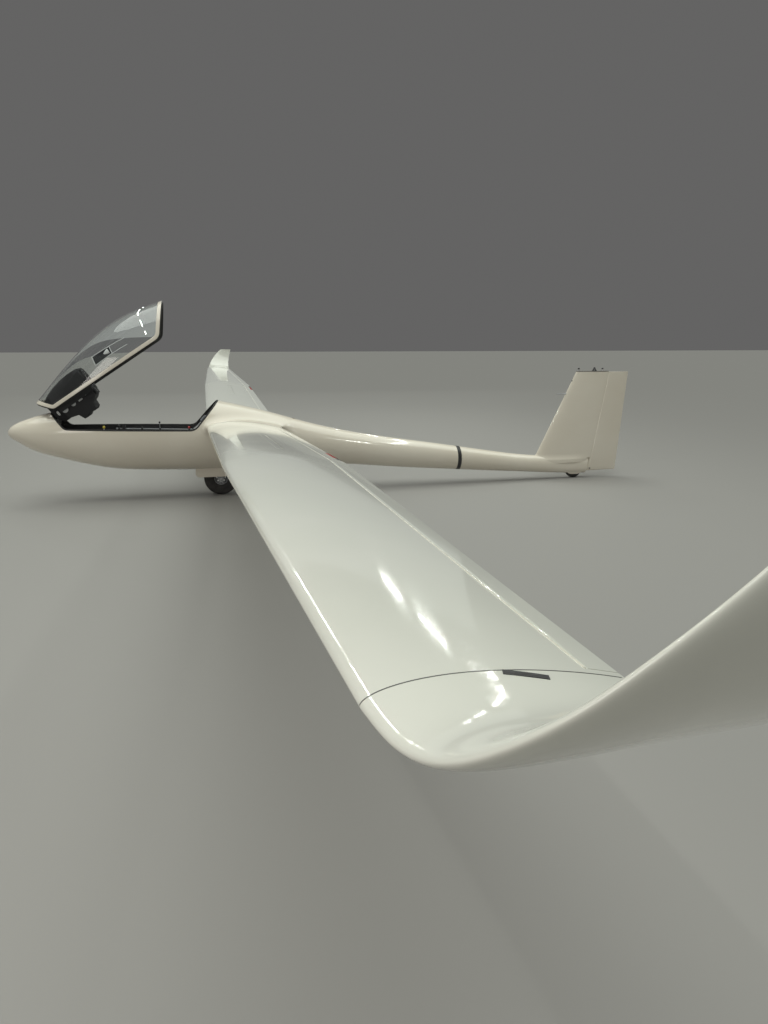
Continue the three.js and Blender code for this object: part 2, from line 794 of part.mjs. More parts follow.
function gearLeg() {
  const line = [[MAIN.station, MAIN.radius], [1960, 360], [1850, 530]];
  const eye = crossBar(MAIN.station, MAIN.radius, 30, 72, 88);
  const head = crossBar(1850, 530, 26, 72, 88);
  const hole = crossBar(MAIN.station, MAIN.radius, MAIN.axle + GAP, 60, 100);
  const top = crossBar(1850, 530, 16 + GAP, 60, 100);
  return joined(slab(stripOutline(line, 40), 72, 88), eye, head).subtract(hole).subtract(top);
}

place("gear_leg_left", gearLeg(), "grey");
place("gear_leg_right", mirrored(gearLeg()), "grey");
place("gear_cross_tube", crossBar(1850, 530, 16, -BAY.half + GAP, BAY.half - GAP), "steel");

function wheelBox() {
  const { front, rear, half, top, wall } = BAY;
  const whole = block(front - wall, rear + wall, -half - wall, half + wall, 200, top + wall);
  const inside = block(front, rear, -half, half, 100, top);
  return whole.intersect(envelope(CAVITY[0], CAVITY[1] - 1, WALL + GAP)).subtract(inside);
}

place("wheel_box", wheelBox(), "gelcoat");

const door = block(BAY.front + 4, BAY.rear - 4, BAY.half - 6 - GAP, BAY.half - GAP, 203, 296);
place("gear_door_left", door, "gelcoat");
place("gear_door_right", mirrored(door), "gelcoat");

// Cockpit

const inside = envelope(CAVITY[0], CAVITY[1] - 1, WALL + GAP);

const seatLine = [[1010, 500], [1160, 455], [1340, 372], [1480, 352], [1600, 420], [1740, 625], [1930, 820]];
const seatShell = slab(stripOutline(seatLine, 8), -400, 400).intersect(inside);
place("seat_pan", seatShell, "gelcoat");

// A line that lies above the seat line by a distance.
const overSeat = (line, rise) => stripOutline(line, 2 * rise).slice(0, line.length);
const cushionLine = overSeat(seatLine.slice(2, 6), 17.4);
place("seat_cushion", slab(stripOutline(cushionLine, 26), -165, 165), "cloth");
const headLine = overSeat([[1866, 754.3], [1926, 815.9]], 23.4);
place("headrest", slab(stripOutline(headLine, 38), -95, 95), "cloth");

place("cockpit_floor", block(400, 1000, -400, 400, 482, 490).intersect(inside), "gelcoat");
const bulkhead = block(2010, 2018, -400, 400, 622, 1100).intersect(inside).subtract(aboveSill(-25));
place("rear_bulkhead", bulkhead, "gelcoat");

place("control_stick", joined(
  slab([[1040, 495.6], [1110, 474.6], [1090, 530], [1066, 530]], -24, 24),
  bar(at(1078, 0, 520), at(1080, 0, 665), 9),
  bar(at(1080, 0, 660), at(1092, 0, 770), 17),
), "black");

for (const [side, y] of [["left", 68], ["right", -68]]) {
  const plate = slab([[455, 490 + GAP], [480, 490 + GAP], [448, 585], [438, 585]], y - 32, y + 32);
  place("rudder_pedal_" + side, plate, "steel");
}

function sideControls({ rail, knobs }) {
  const [front, rear] = rail;
  const side = Math.sign(front[1]);
  const brackets = rail.map(([s, y, z]) => {
    const [y0, y1] = side > 0 ? [y, 400] : [-400, y];
    return block(s - 9, s + 9, y0, y1, z - 9, z + 9).intersect(inside);
  });
  const levers = knobs.flatMap(([s, y, z, radius]) => {
    const t = (s - front[0]) / (rear[0] - front[0]);
    const foot = front.map((v, k) => mix(v, rear[k], t));
    const ball = solid(new THREE.SphereGeometry(radius, 12, 8).translate(...at(s, y, z)));
    return [bar(at(...foot), at(s, y, z), STEM_RADIUS, 10), ball];
  });
  return joined(bar(at(...front), at(...rear), RAIL_RADIUS, 12), ...brackets, ...levers);
}

for (const side of ["left", "right"]) {
  place("side_controls_" + side, sideControls(CONTROLS[side]), "black");
}

// Canopy hinge bracket and the strut's foot, on the nose's inner skin
const [hingeS, hingeZ] = CANOPY.hinge;

function hingeBracket() {
  const top = hingeZ + 14;
  const outline = [[hingeS - 14, top], [hingeS + 14, top], [hingeS + 60, 450], [hingeS - 20, 450]];
  const plates = joined(slab(outline, 90, 96), slab(outline, -96, -90));
  const pin = crossBar(hingeS, hingeZ, 6, -93, 93, 16);
  return plates.intersect(inside).add(pin);
}

place("canopy_hinge_bracket", hingeBracket(), "steel");

// Canopy: drawn closed in a group that turns about the hinge, and stored open
const canopy = new THREE.Group();
const hingeX = LENGTH / 2 - hingeS;
canopy.position.set(hingeX, 0, hingeZ);
canopy.rotation.y = radians(CANOPY.open);
sailplane.add(canopy);
const canopyShift = (body) => body.translate([-hingeX, 0, -hingeZ]);
const placeOnCanopy = (name, body, paint) => place(name, canopyShift(body), paint, canopy);

const rimEdge = MOVING_GAP + 0.5;
const glassEdge = rimEdge + CANOPY.rimWidth + 0.4;
const skin = envelope(CAVITY[0], CAVITY[1], 0);

placeOnCanopy("canopy_frame", skin
  .intersect(aboveSill(rimEdge))
  .subtract(aboveSill(glassEdge - 0.4))
  .subtract(envelope(CAVITY[0] - 20, CAVITY[1] + 20, CANOPY.rim)), "gelcoat");

// The bubble, with the pane of the sliding window and its two rails standing proud of the left side.
function bubble() {
  const hollow = envelope(CAVITY[0] - 20, CAVITY[1] + 20, CANOPY.glass);
  const rails = joined(
    slab(stripOutline(WINDOW.upperRail, WINDOW.railWidth), 60, 400),
    slab(stripOutline(WINDOW.lowerRail, WINDOW.railWidth), 60, 400),
  ).intersect(envelope(...CAVITY, -WINDOW.railLift));
  const pane = slab(WINDOW.pane, 60, 400).intersect(envelope(...CAVITY, -WINDOW.paneLift));
  return joined(skin.intersect(aboveSill(glassEdge)), rails, pane).subtract(hollow);
}

placeOnCanopy("canopy_bubble", bubble(), "glass");

function instrumentPod() {
  const room = envelope(CAVITY[0], CAVITY[1], CANOPY.rim + GAP);
  const parts = Object.values(POD).map(({ half, outline }) => slab(outline, -half, half));
  return joined(...parts).intersect(room);
}

const armLine = [CANOPY.hinge, [444, 612], [560, 705]];
const armInner = CANOPY.armY - CANOPY.armThick / 2;

function canopyArms() {
  const { armY, armWidth, armThick } = CANOPY;
  const strip = slab(stripOutline(armLine, armWidth), armInner, armInner + armThick);
  const eye = crossBar(hingeS, hingeZ, 17, armInner, armInner + armThick);
  const hole = crossBar(hingeS, hingeZ, 6.8, -200, 200, 16);
  const arm = joined(strip, eye);
  const tie = crossBar(STRUT.pin[0], STRUT.pin[1], STRUT.pinRadius, -armY, armY, 16);
  return joined(arm, mirrored(arm)).subtract(hole).add(tie);
}

const arms = canopyArms();
const [roomInner, roomOuter] = [armInner - GAP, armInner + CANOPY.armThick + GAP];
const roomWidth = CANOPY.armWidth + 2 * GAP;
const armRoom = joined(
  slab(stripOutline(armLine, roomWidth), roomInner, roomOuter),
  slab(stripOutline([[555, 701], [561, 706]], roomWidth), roomInner, roomOuter),
);
placeOnCanopy("instrument_pod", instrumentPod().subtract(armRoom).subtract(mirrored(armRoom)), "black");
placeOnCanopy("canopy_arms", arms, "grey");

// Gas strut, drawn where it stands with the canopy open
function turnedOpen([s, z]) {
  const turn = radians(CANOPY.open);
  const [ds, dz] = [s - hingeS, z - hingeZ];
  return [
    hingeS + ds * Math.cos(turn) - dz * Math.sin(turn),
    hingeZ + ds * Math.sin(turn) + dz * Math.cos(turn),
  ];
}

const pinOpen = turnedOpen(STRUT.pin);
const strutLength = Math.hypot(pinOpen[0] - STRUT.foot[0], pinOpen[1] - STRUT.foot[1]);
const alongStrut = (d) => {
  const t = d / strutLength;
  return at(mix(STRUT.foot[0], pinOpen[0], t), 0, mix(STRUT.foot[1], pinOpen[1], t));
};
const rodStart = strutLength - STRUT.rodLength;

place("strut_cylinder", joined(
  crossBar(STRUT.foot[0], STRUT.foot[1], STRUT.eye, -6, 6, 20),
  bar(alongStrut(8), alongStrut(STRUT.tubeEnd), STRUT.tube, 20),
).subtract(crossBar(STRUT.foot[0], STRUT.foot[1], 4.6, -20, 20, 16))
  .subtract(bar(alongStrut(18), alongStrut(STRUT.tubeEnd + 5), STRUT.rod + 0.6, 16)), "black");

place("strut_rod", joined(
  bar(alongStrut(rodStart), alongStrut(strutLength - 8), STRUT.rod, 12),
  crossBar(pinOpen[0], pinOpen[1], STRUT.eye, -6, 6, 20),
).subtract(crossBar(pinOpen[0], pinOpen[1], STRUT.pinRadius + STRUT.play, -20, 20, 20)), "steel");

function strutFoot() {
  const [s, z] = STRUT.foot;
  const outline = [[s - 14, z + 10], [s + 14, z + 10], [s + 18, 430], [s - 18, 430]];
  const cheeks = joined(slab(outline, 10, 14), slab(outline, -14, -10));
  const base = block(s - 16, s + 16, -14, 14, 400, z - 18);
  return joined(cheeks, base).intersect(inside).add(crossBar(s, z, 4, -12, 12, 16));
}

place("strut_foot", strutFoot(), "steel");

export default sailplane;
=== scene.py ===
# Single-seat sailplane with upswept tips, parked with its front-hinged canopy open and its tailplane off.
# Tables and sizes are in millimetres: a station is a distance aft of the nose, an offset is to the left,
# and a height is above the floor. Meshes are in metres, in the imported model's frame.

import math

import bmesh
import bpy
import numpy as np
from mathutils import Matrix, Vector


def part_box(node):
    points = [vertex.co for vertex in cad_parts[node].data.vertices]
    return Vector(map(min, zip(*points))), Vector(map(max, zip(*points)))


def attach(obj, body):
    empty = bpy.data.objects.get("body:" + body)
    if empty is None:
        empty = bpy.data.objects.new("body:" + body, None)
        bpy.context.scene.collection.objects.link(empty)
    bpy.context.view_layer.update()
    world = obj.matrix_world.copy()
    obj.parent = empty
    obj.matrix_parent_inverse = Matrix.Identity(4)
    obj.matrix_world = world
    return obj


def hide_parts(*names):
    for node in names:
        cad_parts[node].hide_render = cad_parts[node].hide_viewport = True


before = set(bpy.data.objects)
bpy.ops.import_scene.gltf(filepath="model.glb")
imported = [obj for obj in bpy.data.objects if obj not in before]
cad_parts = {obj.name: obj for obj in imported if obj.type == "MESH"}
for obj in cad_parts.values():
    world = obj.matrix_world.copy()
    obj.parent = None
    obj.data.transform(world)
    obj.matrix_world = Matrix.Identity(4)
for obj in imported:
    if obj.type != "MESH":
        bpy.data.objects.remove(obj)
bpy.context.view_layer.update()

# Camera
# It stands a step outside the left wing tip at eye height, and looks over the wing to the nose and tail.
VIEW_FROM = (1.5595, 7.972, 1.580)
VIEW_PITCH = math.radians(12.906)
VIEW_HEADING = (-0.2409, -0.9705)


def placed(name, data):
    """An object of this data, linked into the scene."""
    made = bpy.data.objects.new(name, data)
    bpy.context.scene.collection.objects.link(made)
    return made


view = bpy.data.cameras.new("view")
view.sensor_width = 36
view.lens = 26.07
camera = placed("camera", view)
camera.location = VIEW_FROM
level = math.cos(VIEW_PITCH)
ahead = Vector((VIEW_HEADING[0] * level, VIEW_HEADING[1] * level, -math.sin(VIEW_PITCH)))
camera.rotation_euler = ahead.to_track_quat("-Z", "Y").to_euler()
bpy.context.scene.camera = camera

# Floor and lights
# A plain pale floor under soft light from above. Two rows of strip lamps hang over the wings. Of three large
# soft panels, a warm one lights the left tip, a weak one stands ahead of the nose, and one on the far side.
FLOOR_HALF = 120.0
STRIP_HEIGHT = 4.6
STRIPS = [(x, y) for x in (-2.6, 3.4) for y in (-7.5, -4.5, -1.5, 1.5, 4.5)]
LAMP_TINT = (0.95, 1.0, 0.93)
WALL_TINT = (1.0, 0.94, 0.88)

bpy.context.scene.view_settings.view_transform = "Standard"
floor_mesh = bpy.data.meshes.new("floor")
corners = [(-FLOOR_HALF, -FLOOR_HALF, 0), (FLOOR_HALF, -FLOOR_HALF, 0)]
corners += [(FLOOR_HALF, FLOOR_HALF, 0), (-FLOOR_HALF, FLOOR_HALF, 0)]
floor_mesh.from_pydata(corners, [], [(0, 1, 2, 3)])
floor = placed("floor", floor_mesh)


def new_material(name, **sockets):
    """A material with one Principled shader, and that shader's plain socket values."""
    made = bpy.data.materials.new(name)
    made.use_nodes = True
    shader = made.node_tree.nodes["Principled BSDF"]
    for socket, value in sockets.items():
        shader.inputs[socket.replace("_", " ")].default_value = value
    return made


floor_paint = new_material("floor_paint", Base_Color=(0.30, 0.29, 0.277, 1), Roughness=0.6)
floor.data.materials.append(floor_paint)


def panel(name, place, size, power, aim, tint):
    """A soft rectangular lamp at a place, turned to the point that it lights."""
    lamp = bpy.data.lights.new(name, "AREA")
    lamp.shape = "RECTANGLE"
    lamp.size, lamp.size_y = size
    lamp.energy = power
    lamp.color = tint
    made = placed(name, lamp)
    made.location = place
    made.rotation_euler = (Vector(aim) - Vector(place)).to_track_quat("-Z", "Y").to_euler()
    made.visible_camera = False


for number, (x, y) in enumerate(STRIPS):
    panel(f"strip_{number}", (x, y, STRIP_HEIGHT), (0.035, 1.6), 22, (x, y, 0), LAMP_TINT)
panel("tip_panel", (6.0, 7.3, 3.0), (4.4, 2.6), 92, (1.1, 7.2, 1.3), WALL_TINT)
panel("front_panel", (9.5, 2.0, 1.9), (8, 3.4), 12, (0.0, 2.0, 1.2), WALL_TINT)
panel("far_panel", (-1.0, -16.0, 4.2), (16, 5), 45, (0.0, 0.0, 1.0), LAMP_TINT)
overhead = bpy.data.lights.new("overhead", "SUN")
overhead.energy = 2.0
overhead.angle = math.radians(75)
overhead.color = LAMP_TINT
placed("overhead", overhead)

world = bpy.data.worlds.new("room")
world.use_nodes = True
world.node_tree.nodes["Background"].inputs["Color"].default_value = (0.98, 0.97, 0.96, 1)
world.node_tree.nodes["Background"].inputs["Strength"].default_value = 0.13
bpy.context.scene.world = world

# Gelcoat
# The whole airframe is sprayed in the mould with hard glossy gelcoat, then sanded and polished. The polish
# leaves long faint waves, and a film of dust and wax takes the shine off in patches.
FLOAT = "NodeSocketFloat"


def add(tree, kind, values=(), **settings):
    """A new node of a kind, with its settings, and then the plain values of its inputs."""
    made = tree.nodes.new(kind)
    for name, value in settings.items():
        setattr(made, name, value)
    for socket, value in dict(values).items():
        made.inputs[socket].default_value = value
    return made


def connect(tree, *rows):
    """Links in a tree, one row each: a node, its output, the next node, and its input."""
    for source, output, target, socket in rows:
        tree.links.new(source.outputs[output], target.inputs[socket])


def node_group(name, inputs, outputs):
    """An empty shader node group with named number inputs (name, default) and named outputs."""
    made = bpy.data.node_groups.new(name, "ShaderNodeTree")
    for label, default in inputs:
        made.interface.new_socket(label, in_out="INPUT", socket_type=FLOAT).default_value = default
    for label in outputs:
        made.interface.new_socket(label, in_out="OUTPUT", socket_type=FLOAT)
    return made, made.nodes.new("NodeGroupInput"), made.nodes.new("NodeGroupOutput")


def mottle_group():
    """Patches at a chosen size, and fine grain a hundred times smaller, both from 0 to 1."""
    inputs = [("Patch Scale", 2.0), ("Grain Scale", 200.0), ("Contrast", 0.5)]
    tree, source, result = node_group("mottle", inputs, ["Patches", "Grain"])
    place = add(tree, "ShaderNodeTexCoord")
    patches = add(tree, "ShaderNodeTexNoise", {"Detail": 4})
    grain = add(tree, "ShaderNodeTexNoise", {"Detail": 2})
    spread = add(tree, "ShaderNodeMapRange")
    low = add(tree, "ShaderNodeMath", {1: -0.4, 2: 0.5}, operation="MULTIPLY_ADD")
    high = add(tree, "ShaderNodeMath", {0: 1}, operation="SUBTRACT")
    connect(
        tree,
        (place, "Object", patches, "Vector"),
        (place, "Object", grain, "Vector"),
        (source, "Patch Scale", patches, "Scale"),
        (source, "Grain Scale", grain, "Scale"),
        (source, "Contrast", low, 0),
        (low, 0, high, 1),
        (patches, "Fac", spread, "Value"),
        (low, 0, spread, "From Min"),
        (high, 0, spread, "From Max"),
        (spread, "Result", result, "Patches"),
        (grain, "Fac", result, "Grain"),
    )
    return tree


MOTTLE = mottle_group()


def dress(material, light, dark, gloss, bump, patch, grain, contrast=0.5):
    """Colour between light and dark, roughness between the two gloss values, and a fine bump."""
    tree = material.node_tree
    shader = tree.nodes["Principled BSDF"]
    scales = {"Patch Scale": patch, "Grain Scale": grain, "Contrast": contrast}
    effect = add(tree, "ShaderNodeGroup", scales, node_tree=MOTTLE)
    blend = add(tree, "ShaderNodeMix", {"A": (*light, 1), "B": (*dark, 1)}, data_type="RGBA")
    rough = add(tree, "ShaderNodeMapRange", {"To Min": gloss[0], "To Max": gloss[1]})
    relief = add(tree, "ShaderNodeBump", {"Strength": bump[0], "Distance": bump[1]})
    connect(
        tree,
        (effect, "Patches", blend, "Factor"),
        (blend, "Result", shader, "Base Color"),
        (effect, "Patches", rough, "Value"),
        (rough, "Result", shader, "Roughness"),
        (effect, "Grain", relief, "Height"),
        (relief, "Normal", shader, "Normal"),
    )
    return material


def gelcoat(name, light, dark):
    """A polished gelcoat that drifts between two near colours."""
    made = new_material(name, Coat_Weight=0.5, Coat_Roughness=0.04, IOR=1.5)
    return dress(made, light, dark, (0.07, 0.14), (0.035, 0.003), patch=1.6, grain=9, contrast=0.4)


fuselage_gelcoat = gelcoat("fuselage_gelcoat", (0.81, 0.755, 0.65), (0.77, 0.71, 0.60))
wing_gelcoat = gelcoat("wing_gelcoat", (0.79, 0.79, 0.72), (0.76, 0.765, 0.69))

# Fuselage shell
# Two moulded halves of glass and carbon cloth, bonded down the middle, from the nose to the tail cone. The
# cockpit, the wheel bay and the slot of the tail wheel are cut out, and the wing roots grow out of it.
NOSE_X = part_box("fuselage_pod")[1].x
BODY = [  # station, top, bottom, half width, lower power
    (0, 706, 706, 0, 2),
    (8, 734, 680, 23, 2),
    (30, 762, 652, 52, 2),
    (87, 800, 617, 92, 2),
    (169, 832, 558, 130, 2),
    (228, 853, 526, 152, 2.1),
    (361, 889, 476, 190, 2.2),
    (480, 916, 442, 218, 2.3),
    (600, 947, 406, 243, 2.3),
    (790, 998, 358, 272, 2.3),
    (977, 1040, 319, 292, 2.3),
    (1224, 1084, 298, 304, 2.3),
    (1400, 1098, 290, 307, 2.3),
    (1580, 1094, 284, 305, 2.3),
    (1777, 1063, 277, 298, 2.3),
    (1905, 1026, 275, 290, 2.3),
    (2011, 990, 274, 278, 2.3),
    (2147, 968, 274, 262, 2.3),
    (2294, 931, 275, 242, 2.2),
    (2556, 865, 280, 208, 2.1),
    (2777, 797, 285, 187, 2),
    (3117, 699, 284, 168, 2),
    (3349, 646, 276, 156, 2),
    (3750, 570, 234, 142, 2),
    (4195, 503, 194, 130, 2),
    (4652, 430, 160, 118, 2),
    (5120, 352, 123, 103, 2),
    (5605, 283, 90, 87, 2.2),
    (5980, 266, 62, 70, 3),
    (6150, 260, 52, 64, 3.2),
    (6330, 251, 50, 53, 3.2),
]
BODY_END = BODY[-1][0]
SHELL_WALL = 14
CAVITY = (60, 2500)
WHEEL_BAY = {"front": 1767, "rear": 2408, "half": 115, "top": 598}
TAIL_SLOT = {"front": 6036, "rear": 6260, "half": 36, "top": 214}
ROOT_OFFSET = 345
WING = [  # offset, leading edge station, leading edge height, chord, thickness share
    (ROOT_OFFSET, 1905, 731, 753, 0.15),
    (3948, 1941, 927, 680, 0.145),
    (7032, 2036, 1077, 421, 0.13),
]
ROOT_CHORD = WING[0][3]


def to_frame(points):
    """Stations, offsets and heights in millimetres, as points of the frame in metres."""
    p = np.asarray(points, float)
    return np.stack([NOSE_X - p[..., 0] / 1000, p[..., 1] / 1000, p[..., 2] / 1000], axis=-1)


def even_rows(table, keys, values, passes):
    """A table's rows at values of a key, on a curve that doesn't overshoot, then evened out."""
    x = np.asarray(keys, float)
    y = np.asarray(table, float)
    step = np.diff(x)[:, None]
    slope = np.diff(y, axis=0) / step
    tangent = np.zeros_like(y)
    before = 2 * step[1:] + step[:-1]
    after = step[1:] + 2 * step[:-1]
    steady = slope[:-1] * slope[1:] > 0
    safe = np.where(steady, slope[:-1], 1), np.where(steady, slope[1:], 1)
    tangent[1:-1] = np.where(steady, (before + after) / (before / safe[0] + after / safe[1]), 0)
    tangent[0], tangent[-1] = slope[0], slope[-1]
    i = np.clip(np.searchsorted(x, values, side="right") - 1, 0, len(x) - 2)
    t = ((values - x[i]) / (x[i + 1] - x[i]))[:, None]
    width = step[i]
    made = (
        y[i] * (1 + 2 * t) * (1 - t) ** 2
        + tangent[i] * width * t * (1 - t) ** 2
        + y[i + 1] * t**2 * (3 - 2 * t)
        + tangent[i + 1] * width * t**2 * (t - 1)
    )
    for _ in range(passes):
        made[1:-1] = (made[:-2] + 2 * made[1:-1] + made[2:]) / 4
    return made


# Stations are spread by their square root, so that the nose gets round ends and the boom few rows.
root_stations = np.linspace(0, math.sqrt(BODY_END), 201)
smooth_body = even_rows(
    [row[1:] for row in BODY], [math.sqrt(row[0]) for row in BODY], root_stations, passes=24
)


def body_at(stations):
    """Top, bottom, half width and lower power of the smooth shell at any stations."""
    roots = np.sqrt(np.clip(np.asarray(stations, float), 0, BODY_END))
    return np.stack([np.interp(roots, root_stations, column) for column in smooth_body.T], axis=-1)


def body_side(station, height, inset=0.0):
    """How far the side of the shell, drawn in by an inset, lies from the middle plane."""
    top, bottom, half, power = np.moveaxis(body_at(station), -1, 0)
    up = (height - (top + bottom) / 2) / ((top - bottom) / 2 - inset)
    e = np.where(up >= 0, 2, power)
    return (half - inset) * np.clip(1 - np.abs(up) ** e, 0, 1) ** (1 / e)


def body_rings(start, end, inset, points=128):
    """Rings of the shell between two stations, drawn in by an inset."""
    inner = root_stations**2
    inner = inner[(inner > start + 2) & (inner < end - 2)]
    stations = np.concatenate([[start], inner, [end]])
    top, bottom, half, power = np.moveaxis(body_at(stations), -1, 0)[:, :, None]
    turn = np.linspace(0, 2 * math.pi, points, endpoint=False)[None, :]
    up, out = np.cos(turn), np.sin(turn)
    e = np.where(up >= 0, 1, 2 / power)
    rise = np.maximum((top - bottom) / 2 - inset, 0)
    width = np.maximum(half - inset, 0)
    y = width * np.sign(out) * np.abs(out) ** e
    z = (top + bottom) / 2 + rise * np.sign(up) * np.abs(up) ** e
    s = np.broadcast_to(stations[:, None], y.shape)
    return np.stack([s, y, z], axis=-1)


def mesh_object(name, vertices, faces):
    """An object from metres and faces, with its doubles merged and its faces turned outwards."""
    mesh = bpy.data.meshes.new(name)
    mesh.from_pydata(np.asarray(vertices).tolist(), [], faces)
    work = bmesh.new()
    work.from_mesh(mesh)
    bmesh.ops.remove_doubles(work, verts=work.verts, dist=2e-6)
    loose = [edge for edge in work.edges if edge.is_wire]
    bmesh.ops.delete(work, geom=loose, context="EDGES")
    bmesh.ops.recalc_face_normals(work, faces=work.faces)
    work.to_mesh(mesh)
    work.free()
    return placed(name, mesh)


def loft(name, rings, path_closed=False):
    """A skin through closed rings of equal length, in millimetres, capped unless the path is closed."""
    rings = np.asarray(rings, float)
    rows, points = rings.shape[:2]
    faces = []
    for r in range(rows if path_closed else rows - 1):
        here, there = r * points, ((r + 1) % rows) * points
        for i in range(points):
            j = (i + 1) % points
            faces.append((here + i, here + j, there + j, there + i))
    if not path_closed:
        faces.append(tuple(range(points)))
        faces.append(tuple(range((rows - 1) * points, rows * points)))
    return mesh_object(name, to_frame(rings).reshape(-1, 3), faces)


def slab(name, outline, y0, y1):
    """An outline of stations and heights, extruded across the glider."""
    sides = [[(s, y, z) for s, z in outline] for y in (y0, y1)]
    return loft(name, sides)


def block(name, s0, s1, y0, y1, z0, z1):
    """A box between two stations, two offsets and two heights."""
    return slab(name, [(s0, z0), (s1, z0), (s1, z1), (s0, z1)], y0, y1)


def carve(piece, tool, operation="DIFFERENCE"):
    """Cuts, joins or intersects a piece with a tool, and removes the tool."""
    change = piece.modifiers.new("carve", "BOOLEAN")
    change.operation = operation
    change.solver = "EXACT"
    change.object = tool
    apply_modifiers(piece)
    bpy.data.objects.remove(tool)
    return piece


def apply_modifiers(piece):
    """Makes what a piece's modifiers give its plain mesh, and removes them."""
    graph = bpy.context.evaluated_depsgraph_get()
    mesh = bpy.data.meshes.new_from_object(piece.evaluated_get(graph))
    piece.modifiers.clear()
    piece.data = mesh
    mesh.name = piece.name


def mirror_copy(piece, name):
    """The same piece on the other side of the glider."""
    mesh = piece.data.copy()
    mesh.transform(Matrix.Scale(-1, 4, (0, 1, 0)))
    mesh.flip_normals()
    return placed(name, mesh)


def finish(piece, material, body, replaces=(), smooth=35):
    """Gives a piece its material, its shading, its body, and the nodes it stands for."""
    piece.data.materials.clear()
    piece.data.materials.append(material)
    piece.data.shade_smooth()
    piece.data.set_sharp_from_angle(angle=math.radians(smooth))
    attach(piece, body)
    if replaces:
        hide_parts(*replaces)
    return piece


def finish_pair(left, material, body, replaces=(), smooth=35):
    """Finishes a left piece and its twin on the right, with left as right in every name."""
    right = mirror_copy(left, left.name.replace("left", "right"))
    for piece, side in ((left, "left"), (right, "right")):
        nodes = [node.replace("left", side) for node in replaces]
        finish(piece, material, body.replace("left", side), nodes, smooth)


def half_depth(x, chord, thickness):
    """Half the depth of a wing or fin section at a share of its chord."""
    shape = 0.2969 * np.sqrt(x) - 0.126 * x - 0.3516 * x**2 + 0.2843 * x**3 - 0.1036 * x**4
    return 5 * thickness * chord * shape + 0.8 * x


def middle_line(x, chord):
    """The height of a wing section's middle over its leading edge, at a share of its chord."""
    return chord * 0.1 * x * (1 - x) - 10 * chord / ROOT_CHORD * x


def aerofoil(station, offset, height, chord, thickness, points, cant=0.0, start=0.0):
    """A closed wing section, over its upper side to the nose and back along its lower side."""
    turn = np.linspace(math.pi, math.pi * start, points)
    x = (1 - np.cos(turn)) / 2
    sides = []
    for side, order in ((1, slice(None)), (-1, slice(None, None, -1))):
        rise = side * half_depth(x, chord, thickness) + middle_line(x, chord)
        y = offset - math.sin(math.radians(cant)) * rise
        z = height + math.cos(math.radians(cant)) * rise
        sides.append(np.stack([station + chord * x, y, z], axis=-1)[order])
    return np.concatenate([sides[0], sides[1][1:]])


def wing_row(offset):
    """Station, height, chord and thickness share of the wing at an offset."""
    offsets = [row[0] for row in WING]
    return [np.interp(offset, offsets, [row[k] for row in WING]) for k in range(1, 5)]


def wing_section(offset, points, shift=0.0):
    """The wing's closed section at an offset, moved outboard by a shift."""
    station, height, chord, thickness = wing_row(offset)
    return aerofoil(station, offset + shift, height, chord, thickness, points)


def root_fairing(side):
    """The wing root's section, swept into the shell's side on a hollow curve that runs out aft."""
    radius, run_out = 66, 150
    root = wing_section(ROOT_OFFSET, 50, shift=-0.4)
    onward = np.roll(root, -1, axis=0) - np.roll(root, 1, axis=0)
    normal = np.stack([onward[:, 2], -onward[:, 0]], axis=-1)
    normal /= np.linalg.norm(normal, axis=1)[:, None]
    middle = root[:, [0, 2]].mean(axis=0)
    outwards = np.sign(((root[:, [0, 2]] - middle) * normal).sum(axis=1))
    normal *= outwards[:, None]
    share = (root[:, 0] - root[:, 0].min()) / np.ptp(root[:, 0])
    tail = run_out * np.clip((share - 0.55) / 0.45, 0, 1) ** 1.5
    rings = [root]
    for turn in np.linspace(0, math.pi / 2, 12):
        grow = 1 - math.cos(turn)
        s = root[:, 0] + radius * normal[:, 0] * grow + tail * grow
        z = root[:, 2] + radius * normal[:, 1] * grow
        edge = body_side(s, z)
        reach = np.minimum(radius, 0.94 * (ROOT_OFFSET - edge))
        rings.append(np.stack([s, edge + reach * (1 - math.sin(turn)), z], axis=-1))
    buried = rings[-1].copy()
    buried[:, 1] -= 30
    rings.append(buried)
    rings = np.array(rings)
    rings[..., 1] *= side
    return loft("fairing", rings)


OPENING = {  # the cockpit opening seen from the side
    "front_top": (77.5, 1300),
    "front_corner": (557, 750),
    "rear_corner": (1788, 715),
    "rear_top": (2294, 1300),
    "front_radius": 70,
    "rear_radius": 110,
    "rear_run": 773,
}


def opening_line(inset, steps=14):
    """The opening's line of stations and heights, drawn in by an inset, open at its top."""
    names = ("front_top", "front_corner", "rear_corner", "rear_top")
    corners = [np.array(OPENING[name], float) for name in names]
    lines = []
    for p, q in zip(corners, corners[1:]):
        way = (q - p) / np.linalg.norm(q - p)
        lines.append((p + inset * np.array([-way[1], way[0]]), way))

    def meet(one, two):
        (p, u), (q, v) = one, two
        t = ((q[0] - p[0]) * v[1] - (q[1] - p[1]) * v[0]) / (u[0] * v[1] - u[1] * v[0])
        return p + u * t

    def arc(before, corner, after, radius):
        a = (before - corner) / np.linalg.norm(before - corner)
        b = (after - corner) / np.linalg.norm(after - corner)
        reach = radius / math.tan(math.acos(np.clip(a @ b, -1, 1)) / 2)
        start, end = corner + a * reach, corner + b * reach
        t = np.linspace(0, 1, steps)[:, None]
        return (1 - t) ** 2 * start + 2 * t * (1 - t) * corner + t**2 * end

    first = lines[0][0]
    front, rear = meet(lines[0], lines[1]), meet(lines[1], lines[2])
    last = lines[2][0] + lines[2][1] * OPENING["rear_run"]
    front_arc = arc(first, front, rear, max(OPENING["front_radius"] - inset, 8))
    rear_arc = arc(front, rear, last, max(OPENING["rear_radius"] - inset, 8))
    return np.concatenate([[first], front_arc, rear_arc, [last]])


